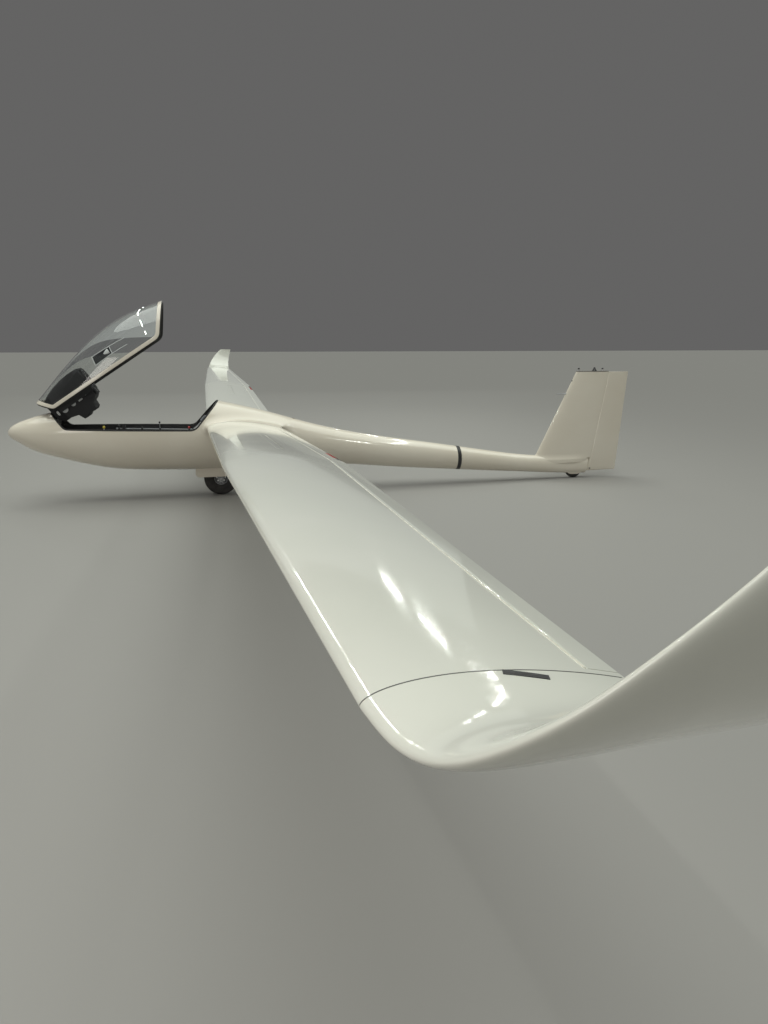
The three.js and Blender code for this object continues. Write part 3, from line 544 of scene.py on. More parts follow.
def above_sill(inset):
    """All the space over the opening's line, as a tool that cuts."""
    return slab("above_sill", opening_line(inset), -500, 500)


shell = loft("fuselage_shell", body_rings(0, BODY_END, 0))
for side in (1, -1):
    carve(shell, root_fairing(side), "UNION")
carve(shell, loft("cavity", body_rings(*CAVITY, SHELL_WALL, points=96)))
carve(shell, above_sill(0))
bay = WHEEL_BAY
carve(shell, block("bay", bay["front"], bay["rear"], -bay["half"], bay["half"], 200, bay["top"]))
slot = TAIL_SLOT
carve(shell, block("slot", slot["front"], slot["rear"], -slot["half"], slot["half"], 0, slot["top"]))
HINGE_LOW = np.array([6357, 226.0])
HINGE_HIGH = np.array([6541, 1258.0])
BOOM_TO_HINGE = 38.2


def hinge_station(height):
    """The rudder's hinge line leans aft: its station at a height."""
    share = (height - HINGE_LOW[1]) / (HINGE_HIGH[1] - HINGE_LOW[1])
    return HINGE_LOW[0] + share * (HINGE_HIGH[0] - HINGE_LOW[0])


cone_end = [(hinge_station(z) - BOOM_TO_HINGE, z) for z in (400, 20)] + [(6600, 20), (6600, 400)]
carve(shell, slab("cone_end", cone_end, -200, 200))
finish(shell, fuselage_gelcoat, "airframe", ["fuselage_pod", "tail_boom"])

# Wings
# Each wing is one long moulded skin over a carbon spar, pinned to the shell at its root. Its trailing edge
# is cut away for a flap and an aileron, which turn on pins in its ribs, and its upper skin for the airbrake.
SURFACES = {"flap": (372, 3928), "aileron": (3968, 7008)}  # offsets of both ends
HINGE_SHARE = 0.865
BRAKE = {"inner": 2350, "outer": 3550, "share": 0.52}


def wing_skin():
    """The left wing's closed skin, with a break in its taper where the flap ends."""
    offsets = np.concatenate([np.linspace(ROOT_OFFSET, 3900, 24), np.linspace(3990, WING[-1][0], 24)])
    return loft("wing_left_skin", [wing_section(y, 80) for y in offsets])


def hinge_axis(offset):
    """Where a flap or aileron turns at an offset: station, height, and half the wing's depth there."""
    station, height, chord, thickness = wing_row(offset)
    x = HINGE_SHARE
    return station + chord * x, height + middle_line(x, chord), half_depth(x, chord, thickness)


def surface_cut(ends):
    """The space behind the wing's false spar, over the length of a flap or aileron."""
    rings = []
    for y in (ends[0] - 2.5, ends[1] + 2.5):
        s, z, _ = hinge_axis(y)
        front, rear = s - 1.8, s + 400
        rings.append([(front, y, z - 80), (rear, y, z - 80), (rear, y, z + 80), (front, y, z + 80)])
    return loft("surface_cut", rings)


def surface_cove(ends):
    """The hollow that the round nose of a flap or aileron turns in."""
    rings = []
    for y in (ends[0] - 2.5, ends[1] + 2.5):
        s, z, half = hinge_axis(y)
        turn = np.linspace(0, 2 * math.pi, 24, endpoint=False)
        r = half - 1.2
        rings.append(np.stack([s + r * np.cos(turn) * 2, np.full(24, y), z + r * np.sin(turn)], axis=-1))
    return loft("surface_cove", rings)


def brake_frame(offset):
    """Where the airbrake's middle meets the wing's upper skin at an offset: station and height."""
    station, height, chord, thickness = wing_row(offset)
    x = BRAKE["share"]
    return station + chord * x, height + middle_line(x, chord) + half_depth(x, chord, thickness)


def along_brake(name, half, below, above, y0, y1):
    """A bar along the airbrake, so far to both sides, below and above the skin."""
    rings = []
    for y in (y0, y1):
        s, z = brake_frame(y)
        rings.append([(s - half, y, z - below), (s + half, y, z - below),
                      (s + half, y, z + above), (s - half, y, z + above)])
    return loft(name, rings)


wing = wing_skin()
for ends in SURFACES.values():
    carve(wing, surface_cut(ends))
    carve(wing, surface_cove(ends))
carve(wing, along_brake("brake_recess", 23, 11, 30, BRAKE["inner"] - 7, BRAKE["outer"] + 7))
carve(wing, along_brake("brake_slot", 8.5, 80, 0, BRAKE["inner"] - 6, BRAKE["outer"] + 6))
finish_pair(wing, wing_gelcoat, "airframe", ["wing_left"])


def surface_skin(name, ends):
    """A flap or aileron: the wing's own section from the hinge aft, with a round nose about the pins."""
    rings = []
    for y in np.linspace(*ends, 20):
        s, z, half = hinge_axis(y)
        radius = half - 2.8
        turn = np.linspace(math.pi / 2, -math.pi / 2, 17)
        nose = np.stack([s - radius * np.cos(turn), np.full(17, y), z + radius * np.sin(turn)], axis=-1)
        station, height, chord, thickness = wing_row(y)
        rear = aerofoil(station, y, height, chord, thickness, 14, start=0.77)
        rings.append(np.concatenate([rear[:14], nose, rear[14:]]))
    return loft(name, rings)


for name, ends in SURFACES.items():
    left = surface_skin(f"{name}_left_skin", ends)
    finish_pair(left, wing_gelcoat, f"{name}_left", [f"{name}_left"])

# Upswept tips
# Each tip is a separate moulding that slides onto the wing's end. It sweeps up in one even curve, and grows
# narrower and leans aft to its end.
TIP = [  # offset, leading edge station, height, chord, cant in degrees, thickness share
    (7032.3, 2036, 1077, 421, 0, 0.13),
    (7138, 2049, 1081, 402, 6, 0.12),
    (7200, 2063, 1092, 386, 16, 0.115),
    (7270, 2080, 1122, 370, 32, 0.11),
    (7337, 2100, 1168, 352, 48, 0.105),
    (7392, 2121, 1215, 336, 58, 0.1),
    (7430, 2155, 1260, 312, 66, 0.1),
    (7462, 2198, 1318, 282, 73, 0.1),
    (7485, 2255, 1378, 244, 79, 0.1),
    (7492, 2317, 1436, 198, 83, 0.09),
]


def lengths(points):
    """How far along a chain of points each of them lies."""
    return np.concatenate([[0], np.cumsum(np.linalg.norm(np.diff(np.array(points, float), axis=0), axis=1))])


def tip_skin():
    """The left tip: sections along the table's smooth curve, each square to the surface's lean."""
    rows = np.array(TIP, float)
    along = lengths(rows[:, [0, 2]])
    made = even_rows(rows, along, np.linspace(0, along[-1], 90), passes=40)
    rings = [
        aerofoil(station, offset, height, chord, thickness, 90, cant)
        for offset, station, height, chord, cant, thickness in made
    ]
    return loft("tip_left_skin", rings)


finish_pair(tip_skin(), wing_gelcoat, "airframe", ["wing_tip_left"], smooth=50)

# Fin
# Two half shells bonded to the tail cone, with a hollow fillet at the foot. The fin leans aft, holds the
# rudder on three steel lugs, and its top is cut flat for the tailplane, with a black gasket round its edge.
FIN = [(240, 5633, 6715, 0.105), (1250, 6124, 6795, 0.1)]  # height, leading and trailing edge, thickness
FIN_TOP = FIN[1][0]
LIP = 14
RUDDER = {"bottom": 78, "top": 1242, "hinges": (400, 800, 1170), "nose": 0.94}


def fin_row(height):
    """Leading edge, trailing edge and thickness share of the fin and rudder at a height."""
    share = (height - FIN[0][0]) / (FIN[1][0] - FIN[0][0])
    return [a + (b - a) * share for a, b in zip(FIN[0][1:], FIN[1][1:])]


def nose_radius(height):
    """The radius of the rudder's round nose, about its hinge line."""
    front, rear, thickness = fin_row(max(height, FIN[0][0]))
    share = (hinge_station(max(height, FIN[0][0])) - front) / (rear - front)
    return RUDDER["nose"] * half_depth(share, rear - front, thickness)


def fin_ring(height, shrink=0.0):
    """The fin's closed section at a height: both sides to the lips, and the hollow for the rudder's nose."""
    front, rear, thickness = fin_row(height)
    chord = rear - front
    hinge = hinge_station(height)
    end = (hinge - LIP - front) / chord
    share = end * (1 - np.cos(np.linspace(0, math.pi / 2, 44)))
    low = np.clip((300 - height) / 70, 0, 1) ** 2.2
    aft = np.clip((end - share) / (0.3 * end), 0, 1)
    half = half_depth(share, chord, thickness) + 17 * low * np.minimum(share * 9, 1) * aft
    half = np.maximum(half - shrink, 0)
    station = front + chord * share - 75 * low * (1 - share / end) ** 2
    station = np.maximum(station, front + shrink - 80 * low)
    radius = nose_radius(height) + 2.5
    reach = math.acos(LIP / radius)
    turn = np.linspace(reach, -reach, 17)
    cove = np.stack([hinge - radius * np.cos(turn), radius * np.sin(turn)], axis=-1)
    left = np.stack([station, half], axis=-1)
    ring = np.concatenate([left, cove, left[:0:-1] * (1, -1)])
    return np.stack([ring[:, 0], ring[:, 1], np.full(len(ring), height)], axis=-1)


def lug_plate(height):
    """A flat steel lug from the fin's web back round the hinge pin."""
    turn = np.linspace(-math.pi / 2, math.pi / 2, 13)
    rings = []
    for z in (height - 4, height + 4):
        s = hinge_station(z)
        round_end = np.stack([s + 9 * np.cos(turn), 9 * np.sin(turn)], axis=-1)
        outline = np.concatenate([[(s - 60, -9)], round_end, [(s - 60, 9)]])
        rings.append([(a, b, z) for a, b in outline])
    return loft(f"rudder_lug_{height}", rings)


heights = np.concatenate([np.linspace(190, 310, 17), np.linspace(345, FIN_TOP - 14, 26)])
fin_rings = [fin_ring(z) for z in heights]
fin_rings += [fin_ring(FIN_TOP - drop, shrink) for drop, shrink in ((6, 0), (2, 0.7), (0.4, 1.8), (0, 3))]
fin = loft("fin_shell", fin_rings)
carve(fin, slab("horn_room", [(6285, 150), (6450, 150), (6450, 238), (6300, 238)], -200, 200))
finish(fin, fuselage_gelcoat, "airframe", ["fin"])

steel = dress(
    new_material("plated_steel", Metallic=0.9, IOR=2.0),
    (0.62, 0.62, 0.63), (0.50, 0.50, 0.52), (0.24, 0.42), (0.08, 0.0004), patch=14, grain=420,
)
black_plastic = dress(
    new_material("black_fitting", IOR=1.45),
    (0.030, 0.030, 0.033), (0.048, 0.047, 0.047), (0.38, 0.60), (0.15, 0.0004), patch=12, grain=600,
)
for height in RUDDER["hinges"]:
    finish(lug_plate(height), steel, "airframe")


def geometry_tree(name, inputs):
    """An empty Geometry Nodes tree with named inputs (name, type, default), and a material as the last."""
    tree = bpy.data.node_groups.new(name, "GeometryNodeTree")
    tree.is_modifier = True
    tree.interface.new_socket("Geometry", in_out="INPUT", socket_type="NodeSocketGeometry")
    for label, kind, default in inputs:
        tree.interface.new_socket(label, in_out="INPUT", socket_type=kind).default_value = default
    tree.interface.new_socket("Material", in_out="INPUT", socket_type="NodeSocketMaterial")
    tree.interface.new_socket("Geometry", in_out="OUTPUT", socket_type="NodeSocketGeometry")
    return tree, tree.nodes.new("NodeGroupInput"), tree.nodes.new("NodeGroupOutput")


def painted(tree, source, result, shape, output):
    """Ends a tree: the shape's instances are made real, and take the material of the tree's input."""
    plain = add(tree, "GeometryNodeRealizeInstances")
    paint = add(tree, "GeometryNodeSetMaterial")
    connect(
        tree,
        (shape, output, plain, "Geometry"),
        (plain, "Geometry", paint, "Geometry"),
        (source, "Material", paint, "Material"),
        (paint, "Geometry", result, "Geometry"),
    )
    return tree


def grown(piece, tree, **values):
    """Runs a Geometry Nodes tree on a piece, and keeps the plain mesh that comes out of it."""
    change = piece.modifiers.new("grown", "NODES")
    change.node_group = tree
    keys = {item.name: item.identifier for item in tree.interface.items_tree if item.in_out == "INPUT"}
    for label, value in values.items():
        change[keys[label]] = value
    apply_modifiers(piece)
    return piece


def bead_tree():
    """A round bead swept along a path."""
    tree, source, result = geometry_tree("round_bead", [("Radius", FLOAT, 0.004)])
    path = add(tree, "GeometryNodeMeshToCurve")
    profile = add(tree, "GeometryNodeCurvePrimitiveCircle", {"Resolution": 10})
    sweep = add(tree, "GeometryNodeCurveToMesh", {"Fill Caps": True})
    connect(
        tree,
        (source, "Geometry", path, "Mesh"),
        (source, "Radius", profile, "Radius"),
        (path, "Curve", sweep, "Curve"),
        (profile, "Curve", sweep, "Profile Curve"),
    )
    return painted(tree, source, result, sweep, "Mesh")


def wire(name, points, closed=False):
    """A chain of edges through points in millimetres, as the path of a sweep."""
    mesh = bpy.data.meshes.new(name)
    count = len(points)
    edges = [(i, (i + 1) % count) for i in range(count if closed else count - 1)]
    mesh.from_pydata(to_frame(points).tolist(), edges, [])
    return placed(name, mesh)


ROUND_BEAD = bead_tree()
rubber = dress(
    new_material("black_rubber", IOR=1.45),
    (0.018, 0.018, 0.019), (0.034, 0.033, 0.032), (0.55, 0.80), (0.25, 0.0006), patch=20, grain=500,
)


def bead(name, points, radius, material, body, closed=False, replaces=()):
    """A round bead or rod of a radius in millimetres along points."""
    made = grown(wire(name, points, closed), ROUND_BEAD, Radius=radius / 1000, Material=material)
    return finish(made, material, body, replaces, smooth=60)


gasket = fin_ring(FIN_TOP - 2.6, 0.6)[:-1]
bead("fin_top_gasket", gasket, 3, rubber, "airframe", closed=True)


def spun(name, outline, centre, axis, segments):
    """A turned piece: an outline of radius and distance along an axis, about a centre in millimetres."""
    way = Vector(axis).normalized()
    side = way.orthogonal().normalized()
    other = way.cross(side)
    rings = []
    for turn in np.linspace(0, 2 * math.pi, segments, endpoint=False):
        out = math.cos(turn) * side + math.sin(turn) * other
        rings.append([[c + r * o + d * w for c, o, w in zip(centre, out, way)] for r, d in outline])
    return loft(name, rings, path_closed=True)


def lathed(name, outline, centre, axis, segments, material, nodes=(), smooth=40):
    """A turned piece of the airframe, finished."""
    finish(spun(name, outline, centre, axis, segments), material, "airframe", nodes, smooth)


UP = (0, 0, 1)
ACROSS = (0, 1, 0)
PIN_CAP = [(0, 0), (9, 0), (11, 2), (11, 13), (9.5, 15), (0, 15)]
PINS = {  # station, and outline of radius and height over the fin's top
    "front": (6150, [(0, 0), (13, 0), (13, 2.5), (8, 4), (7, 5), (7, 33), (5, 37.5), (0, 37.8)]),
    "rear": (6456, [(0, 0), (11, 0), (11, 2), (6, 3), (6, 32), (4.5, 35.5), (0, 35.8)]),
}
for place, (station, outline) in PINS.items():
    name, foot = f"tailplane_{place}_bolt", FIN_TOP + 0.2
    lathed(name, outline, (station, 0, foot), UP, 32, steel, [f"tailplane_{place}_pin"])
    cap_foot = foot + outline[-1][1] - 16
    lathed(name + "_cap", PIN_CAP, (station, 0, cap_foot), UP, 32, black_plastic)

FORK_STATION = 6352
FORK = [  # height over the fin's top, reach, and how round the section is
    (0.3, 29, 0.62), (4, 29, 0.62), (7, 26, 0.66), (30, 13, 0.8), (38, 10, 1), (44, 7, 1),
]


def elevator_fork():
    """The black drive that takes the elevator's lever: a steep four-sided foot with a round head."""
    turn = np.linspace(0, 2 * math.pi, 48, endpoint=False)
    square = 1 / np.maximum(np.abs(np.cos(turn)), np.abs(np.sin(turn))) / math.sqrt(2)
    rings = []
    for z, reach, roundness in FORK:
        r = reach * (roundness + (1 - roundness) * square)
        level = np.full(48, FIN_TOP + z)
        rings.append(np.stack([FORK_STATION + r * np.cos(turn), r * np.sin(turn), level], axis=-1))
    return loft("elevator_fork", rings)


finish(elevator_fork(), black_plastic, "airframe", ["elevator_drive"])

PROBE_HEIGHT, PROBE_TIP, INLET_HEIGHT = 992, 5885, 1139
reach = fin_row(PROBE_HEIGHT - 5)[0] + 8 - PROBE_TIP
probe = [(0, 0), (1.6, 0.1), (3.4, 1.5), (4.7, 8), (5, 20)]
probe += [(5, reach - 24), (7, reach - 16), (10, reach - 4), (10, reach), (0, reach)]
grey_metal = dress(
    new_material("grey_paint", IOR=1.5, Coat_Weight=0.15),
    (0.40, 0.41, 0.42), (0.33, 0.34, 0.35), (0.35, 0.55), (0.10, 0.0005), patch=9, grain=300,
)
probe_start = (PROBE_TIP, 0, PROBE_HEIGHT)
lathed("total_energy_probe", probe, probe_start, (1, 0, 0), 24, grey_metal, ["fin_probe"])
inlet = [(3.5, -5), (3.5, 2), (4.5, 3), (7, 2.6), (8.5, 0), (8.5, -5)]
inlet_place = (fin_row(INLET_HEIGHT)[0] + 1, 0, INLET_HEIGHT)
lathed("fin_inlet", inlet, inlet_place, (-1, 0, 0), 24, black_plastic)

# Rudder
# A light moulded blade on the fin's three lugs, with a round nose inside the fin's lips and behind the tail
# cone. A black horn through its foot takes the two cables.


def rudder_ring(height, shrink=0.0, depth=1.0):
    """The rudder's closed section at a height: its round nose, and both sides to the trailing edge."""
    level = max(height, FIN[0][0])
    front, rear, thickness = fin_row(level)
    start = (hinge_station(level) - front) / (rear - front)
    share = start + (1 - start) * np.linspace(0.012, 1, 34) ** 1.15
    half = half_depth(share, rear - front, thickness) * depth
    hinge, edge = hinge_station(height), fin_row(max(height, 100))[1] - shrink
    station = hinge + (edge - hinge) * (share - start) / (1 - start)
    radius = nose_radius(height) * depth
    turn = np.linspace(-math.pi / 2, math.pi / 2, 19)
    nose = np.stack([hinge - radius * np.cos(turn), radius * np.sin(turn)], axis=-1)
    left = np.stack([station, half], axis=-1)
    ring = np.concatenate([nose, left, left[::-1] * (1, -1)])
    return np.stack([ring[:, 0], ring[:, 1], np.full(len(ring), height)], axis=-1)


foot, top = RUDDER["bottom"], RUDDER["top"]
foot_curve = ((0, 13, 0.5), (0.8, 10, 0.72), (3, 6, 0.88), (7, 2, 0.97))
rudder_rings = [rudder_ring(foot + z, s, d) for z, s, d in foot_curve]
rudder_rings += [rudder_ring(z) for z in np.linspace(foot + 13, top - 6, 38)]
rudder_rings += [rudder_ring(top - z, s, d) for z, s, d in ((2, 0.5, 0.99), (0.6, 1.5, 0.95), (0, 3, 0.88))]
rudder = loft("rudder_blade", rudder_rings)
for height in RUDDER["hinges"]:
    # The pocket is wide enough for the lug at full rudder, which turns 30 degrees.
    s, radius = hinge_station(height), nose_radius(height)
    half = 0.45 * radius + 7.5
    carve(rudder, block("notch", s - 70, s - radius / 2, -70, 70, height - 10, height + 10))
    carve(rudder, block("pocket", s - 20, s + 15, -half, half, height - 10, height + 10))
finish(rudder, fuselage_gelcoat, "rudder", ["rudder"])
for height in RUDDER["hinges"]:
    low, high = height - 12, height + 12
    pin = [(hinge_station(low), 0, low), (hinge_station(high), 0, high)]
    bead(f"rudder_pin_{height}", pin, 3.5, steel, "rudder")


HORN_HEIGHT = 104


def horn_plate():
    """A flat bar across the rudder's foot, with rounded ends and softened edges."""
    middle = hinge_station(HORN_HEIGHT) + 10
    outline = [(-8, -40), (-7, -48), (-3, -51.5), (3, -51.5), (7, -48), (8, -40)]
    outline += [(s, -y) for s, y in outline[::-1]]
    rings = []
    for rise, inset in ((0, 1), (1, 0), (8, 0), (9, 1)):
        z = HORN_HEIGHT + rise
        rings.append([(middle + s * (1 - inset / 8), y * (1 - inset / 52), z) for s, y in outline])
    return loft("rudder_cable_horn", rings)


finish(horn_plate(), black_plastic, "rudder", ["rudder_horn"])

# Airbrakes
# A thin blade with lightening holes stands in a narrow box in each wing. Its cap is a strip of the wing's own
# skin, which closes the slot flush when the blade is down.
CAP_HALF = 21.2
BLADE = {"half": 2.5, "height": 74, "hole": 23, "drop": 39, "holes": 15}


def cap_strip():
    """A strip of the upper skin over the blade, with slightly rounded long edges."""
    rings = []
    for y in np.linspace(BRAKE["inner"], BRAKE["outer"], 25):
        station, height, chord, thickness = wing_row(y)
        centre, surface = brake_frame(y)
        across = CAP_HALF * np.array([-1, -0.97, -0.9, -0.45, 0, 0.45, 0.9, 0.97, 1])
        drop = np.array([1.0, 0.3, 0, 0, 0, 0, 0, 0.3, 1.0])
        share = (centre + across - station) / chord
        z = height + middle_line(share, chord) + half_depth(share, chord, thickness) - drop
        upper = np.stack([centre + across, np.full(9, y), z], axis=-1)
        lower = [(centre + CAP_HALF - 1, y, surface - 5.4), (centre - CAP_HALF + 1, y, surface - 5.4)]
        rings.append(np.concatenate([upper, lower]))
    return loft("airbrake_left_cap", rings)


def brake_blade():
    """The blade under the cap, with a row of round lightening holes."""
    ends = BRAKE["inner"], BRAKE["outer"]
    blade = along_brake("airbrake_left_blade", BLADE["half"], BLADE["height"], -4, *ends)
    cutters = []
    for y in np.linspace(BRAKE["inner"] + 60, BRAKE["outer"] - 60, BLADE["holes"]):
        s, z = brake_frame(y)
        outline = [(0, -20), (BLADE["hole"], -20), (BLADE["hole"], 20), (0, 20)]
        cutters.append(spun("hole", outline, (s, y, z - BLADE["drop"]), (1, 0, 0), 28))
    for cutter in cutters:
        carve(blade, cutter)
    return blade


cap, blade = cap_strip(), brake_blade()
finish_pair(cap, wing_gelcoat, "airbrake_left", ["airbrake_left"])
finish_pair(blade, grey_metal, "airbrake_left")

# Wing tapes
# Thin adhesive tape is laid by hand on the wing's joints: cream along the hinge line of flap and aileron, and
# black along the tip's joint and the root. A red and a black strip mark the flap's trailing edge.


def skin_point(offset, share, side):
    """A point of the wing's upper skin, or of its lower one where side is -1, at a share of the chord."""
    station, height, chord, thickness = wing_row(offset)
    rise = middle_line(share, chord) + side * half_depth(share, chord, thickness)
    return np.array([station + chord * share, offset, height + rise])


def tape(name, path, width, material, side=1, lift=0.25, body="airframe"):
    """A tape on the wing's skin along offsets and shares of the chord, and its twin on the other wing."""
    reach = 0.003
    rings = []
    centre = np.array([skin_point(offset, share, side) for offset, share in path])
    onward = np.gradient(centre, axis=0)
    for point, way, (offset, share) in zip(centre, onward, path):
        fore = skin_point(offset, max(share - reach, 0), side)
        aft = skin_point(offset, min(share + reach, 1), side)
        outboard = skin_point(offset + 5, share, side) - skin_point(offset - 5, share, side)
        normal = np.cross(outboard, aft - fore) * side
        normal /= np.linalg.norm(normal)
        normal *= np.sign(normal[2]) * side
        across = np.cross(way, normal)
        across *= width / 2 / np.linalg.norm(across)
        low, high = point - 0.8 * normal, point + lift * normal
        rings.append([low - across, high - across, high + across, low + across])
    finish_pair(loft(name + "_left", rings), material, body)


def along_chord(offset, start, end):
    """A path round the section at one offset, between two shares of the chord."""
    turn = np.linspace(math.acos(1 - 2 * start), math.acos(1 - 2 * end), 60)
    return [(offset, (1 - math.cos(t)) / 2) for t in turn]


def along_span(share, start, end, count):
    """A path out along the wing at one share of the chord, between two offsets."""
    return [(offset, share) for offset in np.linspace(start, end, count)]


tape_black = dress(
    new_material("black_tape", IOR=1.45),
    (0.026, 0.026, 0.028), (0.040, 0.039, 0.039), (0.30, 0.48), (0.10, 0.0004), patch=30, grain=300,
)
tape_red = dress(
    new_material("red_tape", IOR=1.3),
    (0.34, 0.022, 0.020), (0.26, 0.020, 0.018), (0.50, 0.65), (0.10, 0.0004), patch=30, grain=300,
)
tape_cream = dress(
    new_material("cream_tape", IOR=1.5, Coat_Weight=0.4),
    (0.90, 0.88, 0.78), (0.86, 0.83, 0.72), (0.22, 0.36), (0.06, 0.0003), patch=20, grain=300,
)
SEAL_SHARE = HINGE_SHARE - 0.004
MARKER_SHARE = 0.982
JOINTS = {"tip": (7030.5, 2.6), "root": (347.5, 2.4)}  # offset and width of the tape
for side, label in ((1, "upper"), (-1, "lower")):
    for name, ends in SURFACES.items():
        tape(f"{name}_seal_{label}", along_span(SEAL_SHARE, *ends, 30), 4.2, tape_cream, side, lift=1.2)
    for name, (offset, width) in JOINTS.items():
        tape(f"{name}_joint_{label}", along_chord(offset, 0.0005, 0.985), width, tape_black, side)
askew = [(7038 + 20 * t, 0.505 + 0.155 * t) for t in np.linspace(0, 1, 14)]
tape("tip_tape", askew, 15, tape_black, lift=1.4)
MARKERS = {"red": (tape_red, 3330, 3660, 12), "black": (tape_black, 3660, 3800, 8)}
for name, (colour, start, end, count) in MARKERS.items():
    path = along_span(MARKER_SHARE, start, end, count)
    tape(f"edge_marker_{name}", path, 26, colour, lift=0.6, body="flap_left")

# Boom band
# A band of black tape goes once round the tail boom. It is laid by hand on the polished gelcoat, and stands
# off it by little more than its own thickness.
BAND = (4652, 4696)
BAND_LIFT = 0.7
band_edges = [(BAND[0], -1), (BAND[0], BAND_LIFT), (BAND[1], BAND_LIFT), (BAND[1], -1)]
band_rings = [body_rings(s, s + 1, -out, points=96)[0] for s, out in band_edges]
finish(loft("boom_band", band_rings, path_closed=True), tape_black, "airframe")

# Undercarriage
# The main wheel stands on a sprung leg in a box behind the seat, with a grooved tyre on a cast rim. The tail
# wheel sits in a slot of the boom.
MAIN = {"station": 2028, "radius": 175, "rim": 72, "bore": 12.8}
TAIL = {"station": 6148, "radius": 100, "rim": 46, "bore": 8.8}

tyre_rubber = dress(
    new_material("tyre_rubber", IOR=1.45),
    (0.022, 0.022, 0.022), (0.060, 0.056, 0.052), (0.62, 0.92), (0.35, 0.0012), patch=24, grain=700,
)
TYRES = {  # half of each tyre, from its bead to its crown: rings on the side wall, and two or one grooves
    "main": [
        (72, 45), (74, 52), (84, 56.5), (88, 58), (90, 58.2), (92, 57.8), (104, 61), (106, 61.8), (108, 61.2),
        (122, 62.4), (136, 62.2), (146, 61.2), (155, 59.2), (158, 59.4), (160, 58), (166, 55), (170, 50.5),
        (172.6, 44), (173.3, 40), (168.5, 39), (168.3, 33), (173.9, 32), (174.7, 18), (174.8, 16),
        (169.5, 15), (169.4, 9), (175, 8), (175, 0),
    ],
    "tail": [
        (46, 20), (48, 24), (56, 27.5), (58, 28.2), (60, 27.8), (72, 29), (82, 28.4), (90, 25.5), (94, 22.5),
        (97, 18), (98.4, 13), (95.5, 12.4), (95.4, 9.6), (98.9, 9), (100, 0),
    ],
}


def rim_outline(wheel, face, web):
    """A cast rim: its well, two flanges, and a thick boss round the axle."""
    out, bore = wheel["rim"] - 0.7, wheel["bore"]
    half = [
        (bore, face), (bore + 1.2, face + 1), (bore + 13, face + 1), (bore + 15, face - 1),
        (bore + 17, web + 3), (bore + 21, web), (out - 14, web), (out - 10, web + 3), (out - 8, face - 3),
        (out - 5, face + 1), (out - 2, face + 1.4), (out, face),
    ]
    return half + [(r, -w) for r, w in half[::-1]]


def bolt_tree():
    """Bolt heads with washers on points, each turned to the direction stored on its point."""
    tree, source, result = geometry_tree("bolt_heads", [("Head", FLOAT, 0.004)])
    washer = add(tree, "GeometryNodeMeshCone", {"Vertices": 20})
    hexagon = add(tree, "GeometryNodeMeshCone", {"Vertices": 6})
    for cone, shares in ((washer, (1.35, 1.25, 0.3)), (hexagon, (0.98, 0.9, 1.0))):
        for share, socket in zip(shares, ("Radius Bottom", "Radius Top", "Depth")):
            size = add(tree, "ShaderNodeMath", {1: share}, operation="MULTIPLY")
            connect(tree, (source, "Head", size, 0), (size, 0, cone, socket))
    both = add(tree, "GeometryNodeJoinGeometry")
    aim = add(tree, "GeometryNodeInputNamedAttribute", {"Name": "aim"}, data_type="FLOAT_VECTOR")
    turn = add(tree, "FunctionNodeAlignRotationToVector", axis="Z")
    place = add(tree, "GeometryNodeInstanceOnPoints")
    connect(
        tree,
        (washer, "Mesh", both, "Geometry"),
        (hexagon, "Mesh", both, "Geometry"),
        (aim, "Attribute", turn, "Vector"),
        (source, "Geometry", place, "Points"),
        (both, "Geometry", place, "Instance"),
        (turn, "Rotation", place, "Rotation"),
    )
    return painted(tree, source, result, place, "Instances")


BOLT_HEADS = bolt_tree()


def bolts(name, points, aims, head, material, body):
    """Bolt heads at points in millimetres, turned to directions of stations, offsets and heights."""
    mesh = bpy.data.meshes.new(name)
    mesh.from_pydata(to_frame(points).tolist(), [], [])
    piece = placed(name, mesh)
    stored = mesh.attributes.new("aim", "FLOAT_VECTOR", "POINT")
    stored.data.foreach_set("vector", [c for s, y, z in aims for c in (-s, y, z)])
    grown(piece, BOLT_HEADS, Head=head / 1000, Material=material)
    return finish(piece, material, body, smooth=30)


def bolt_circle(wheel, radius, count, face):
    """Points and directions of bolts on both faces of a wheel."""
    points, aims = [], []
    for side in (1, -1):
        for k in range(count):
            turn = 2 * math.pi * (k + 0.5) / count
            s = wheel["station"] + radius * math.cos(turn)
            points.append((s, side * face, wheel["radius"] + radius * math.sin(turn)))
            aims.append((0, side, 0))
    return points, aims


for name, wheel, rim, count, seat in (
    ("main", MAIN, rim_outline(MAIN, 43.5, 18), 8, 45.2),
    ("tail", TAIL, rim_outline(TAIL, 19.5, 8), 6, 21.2),
):
    centre = (wheel["station"], 0, wheel["radius"])
    outline = TYRES[name] + [(r, -w) for r, w in TYRES[name][-2::-1]]
    tyre = spun(f"{name}_wheel_tyre", outline, centre, ACROSS, 128)
    finish(tyre, tyre_rubber, f"{name}_wheel", [f"{name}_tyre"], smooth=40)
    hub = spun(f"{name}_wheel_rim", rim, centre, ACROSS, 96)
    middle = (wheel["bore"] + wheel["rim"]) / 2 + 2
    opening = (wheel["rim"] - wheel["bore"]) * 0.16
    for k in range(count):
        turn = 2 * math.pi * (k + 0.02) / count
        at = (centre[0] + middle * math.cos(turn), 0, centre[2] + middle * math.sin(turn))
        carve(hub, spun("hole", [(0, -60), (opening, -60), (opening, 60), (0, 60)], at, ACROSS, 24))
    finish(hub, grey_metal, f"{name}_wheel", [f"{name}_hub"], smooth=35)
    points, aims = bolt_circle(wheel, wheel["bore"] + 7, count, seat)
    head = wheel["rim"] * 0.045
    bolts(f"{name}_wheel_bolts", points, aims, head, steel, f"{name}_wheel")


DOOR = {"foot": 203, "top": 296, "offset": 111.2, "thick": 2.4, "bow": 2.2, "corner": 40}
CHEEK = {"station": 6150, "half": 104, "top": 92, "foot": 44, "end": 78}


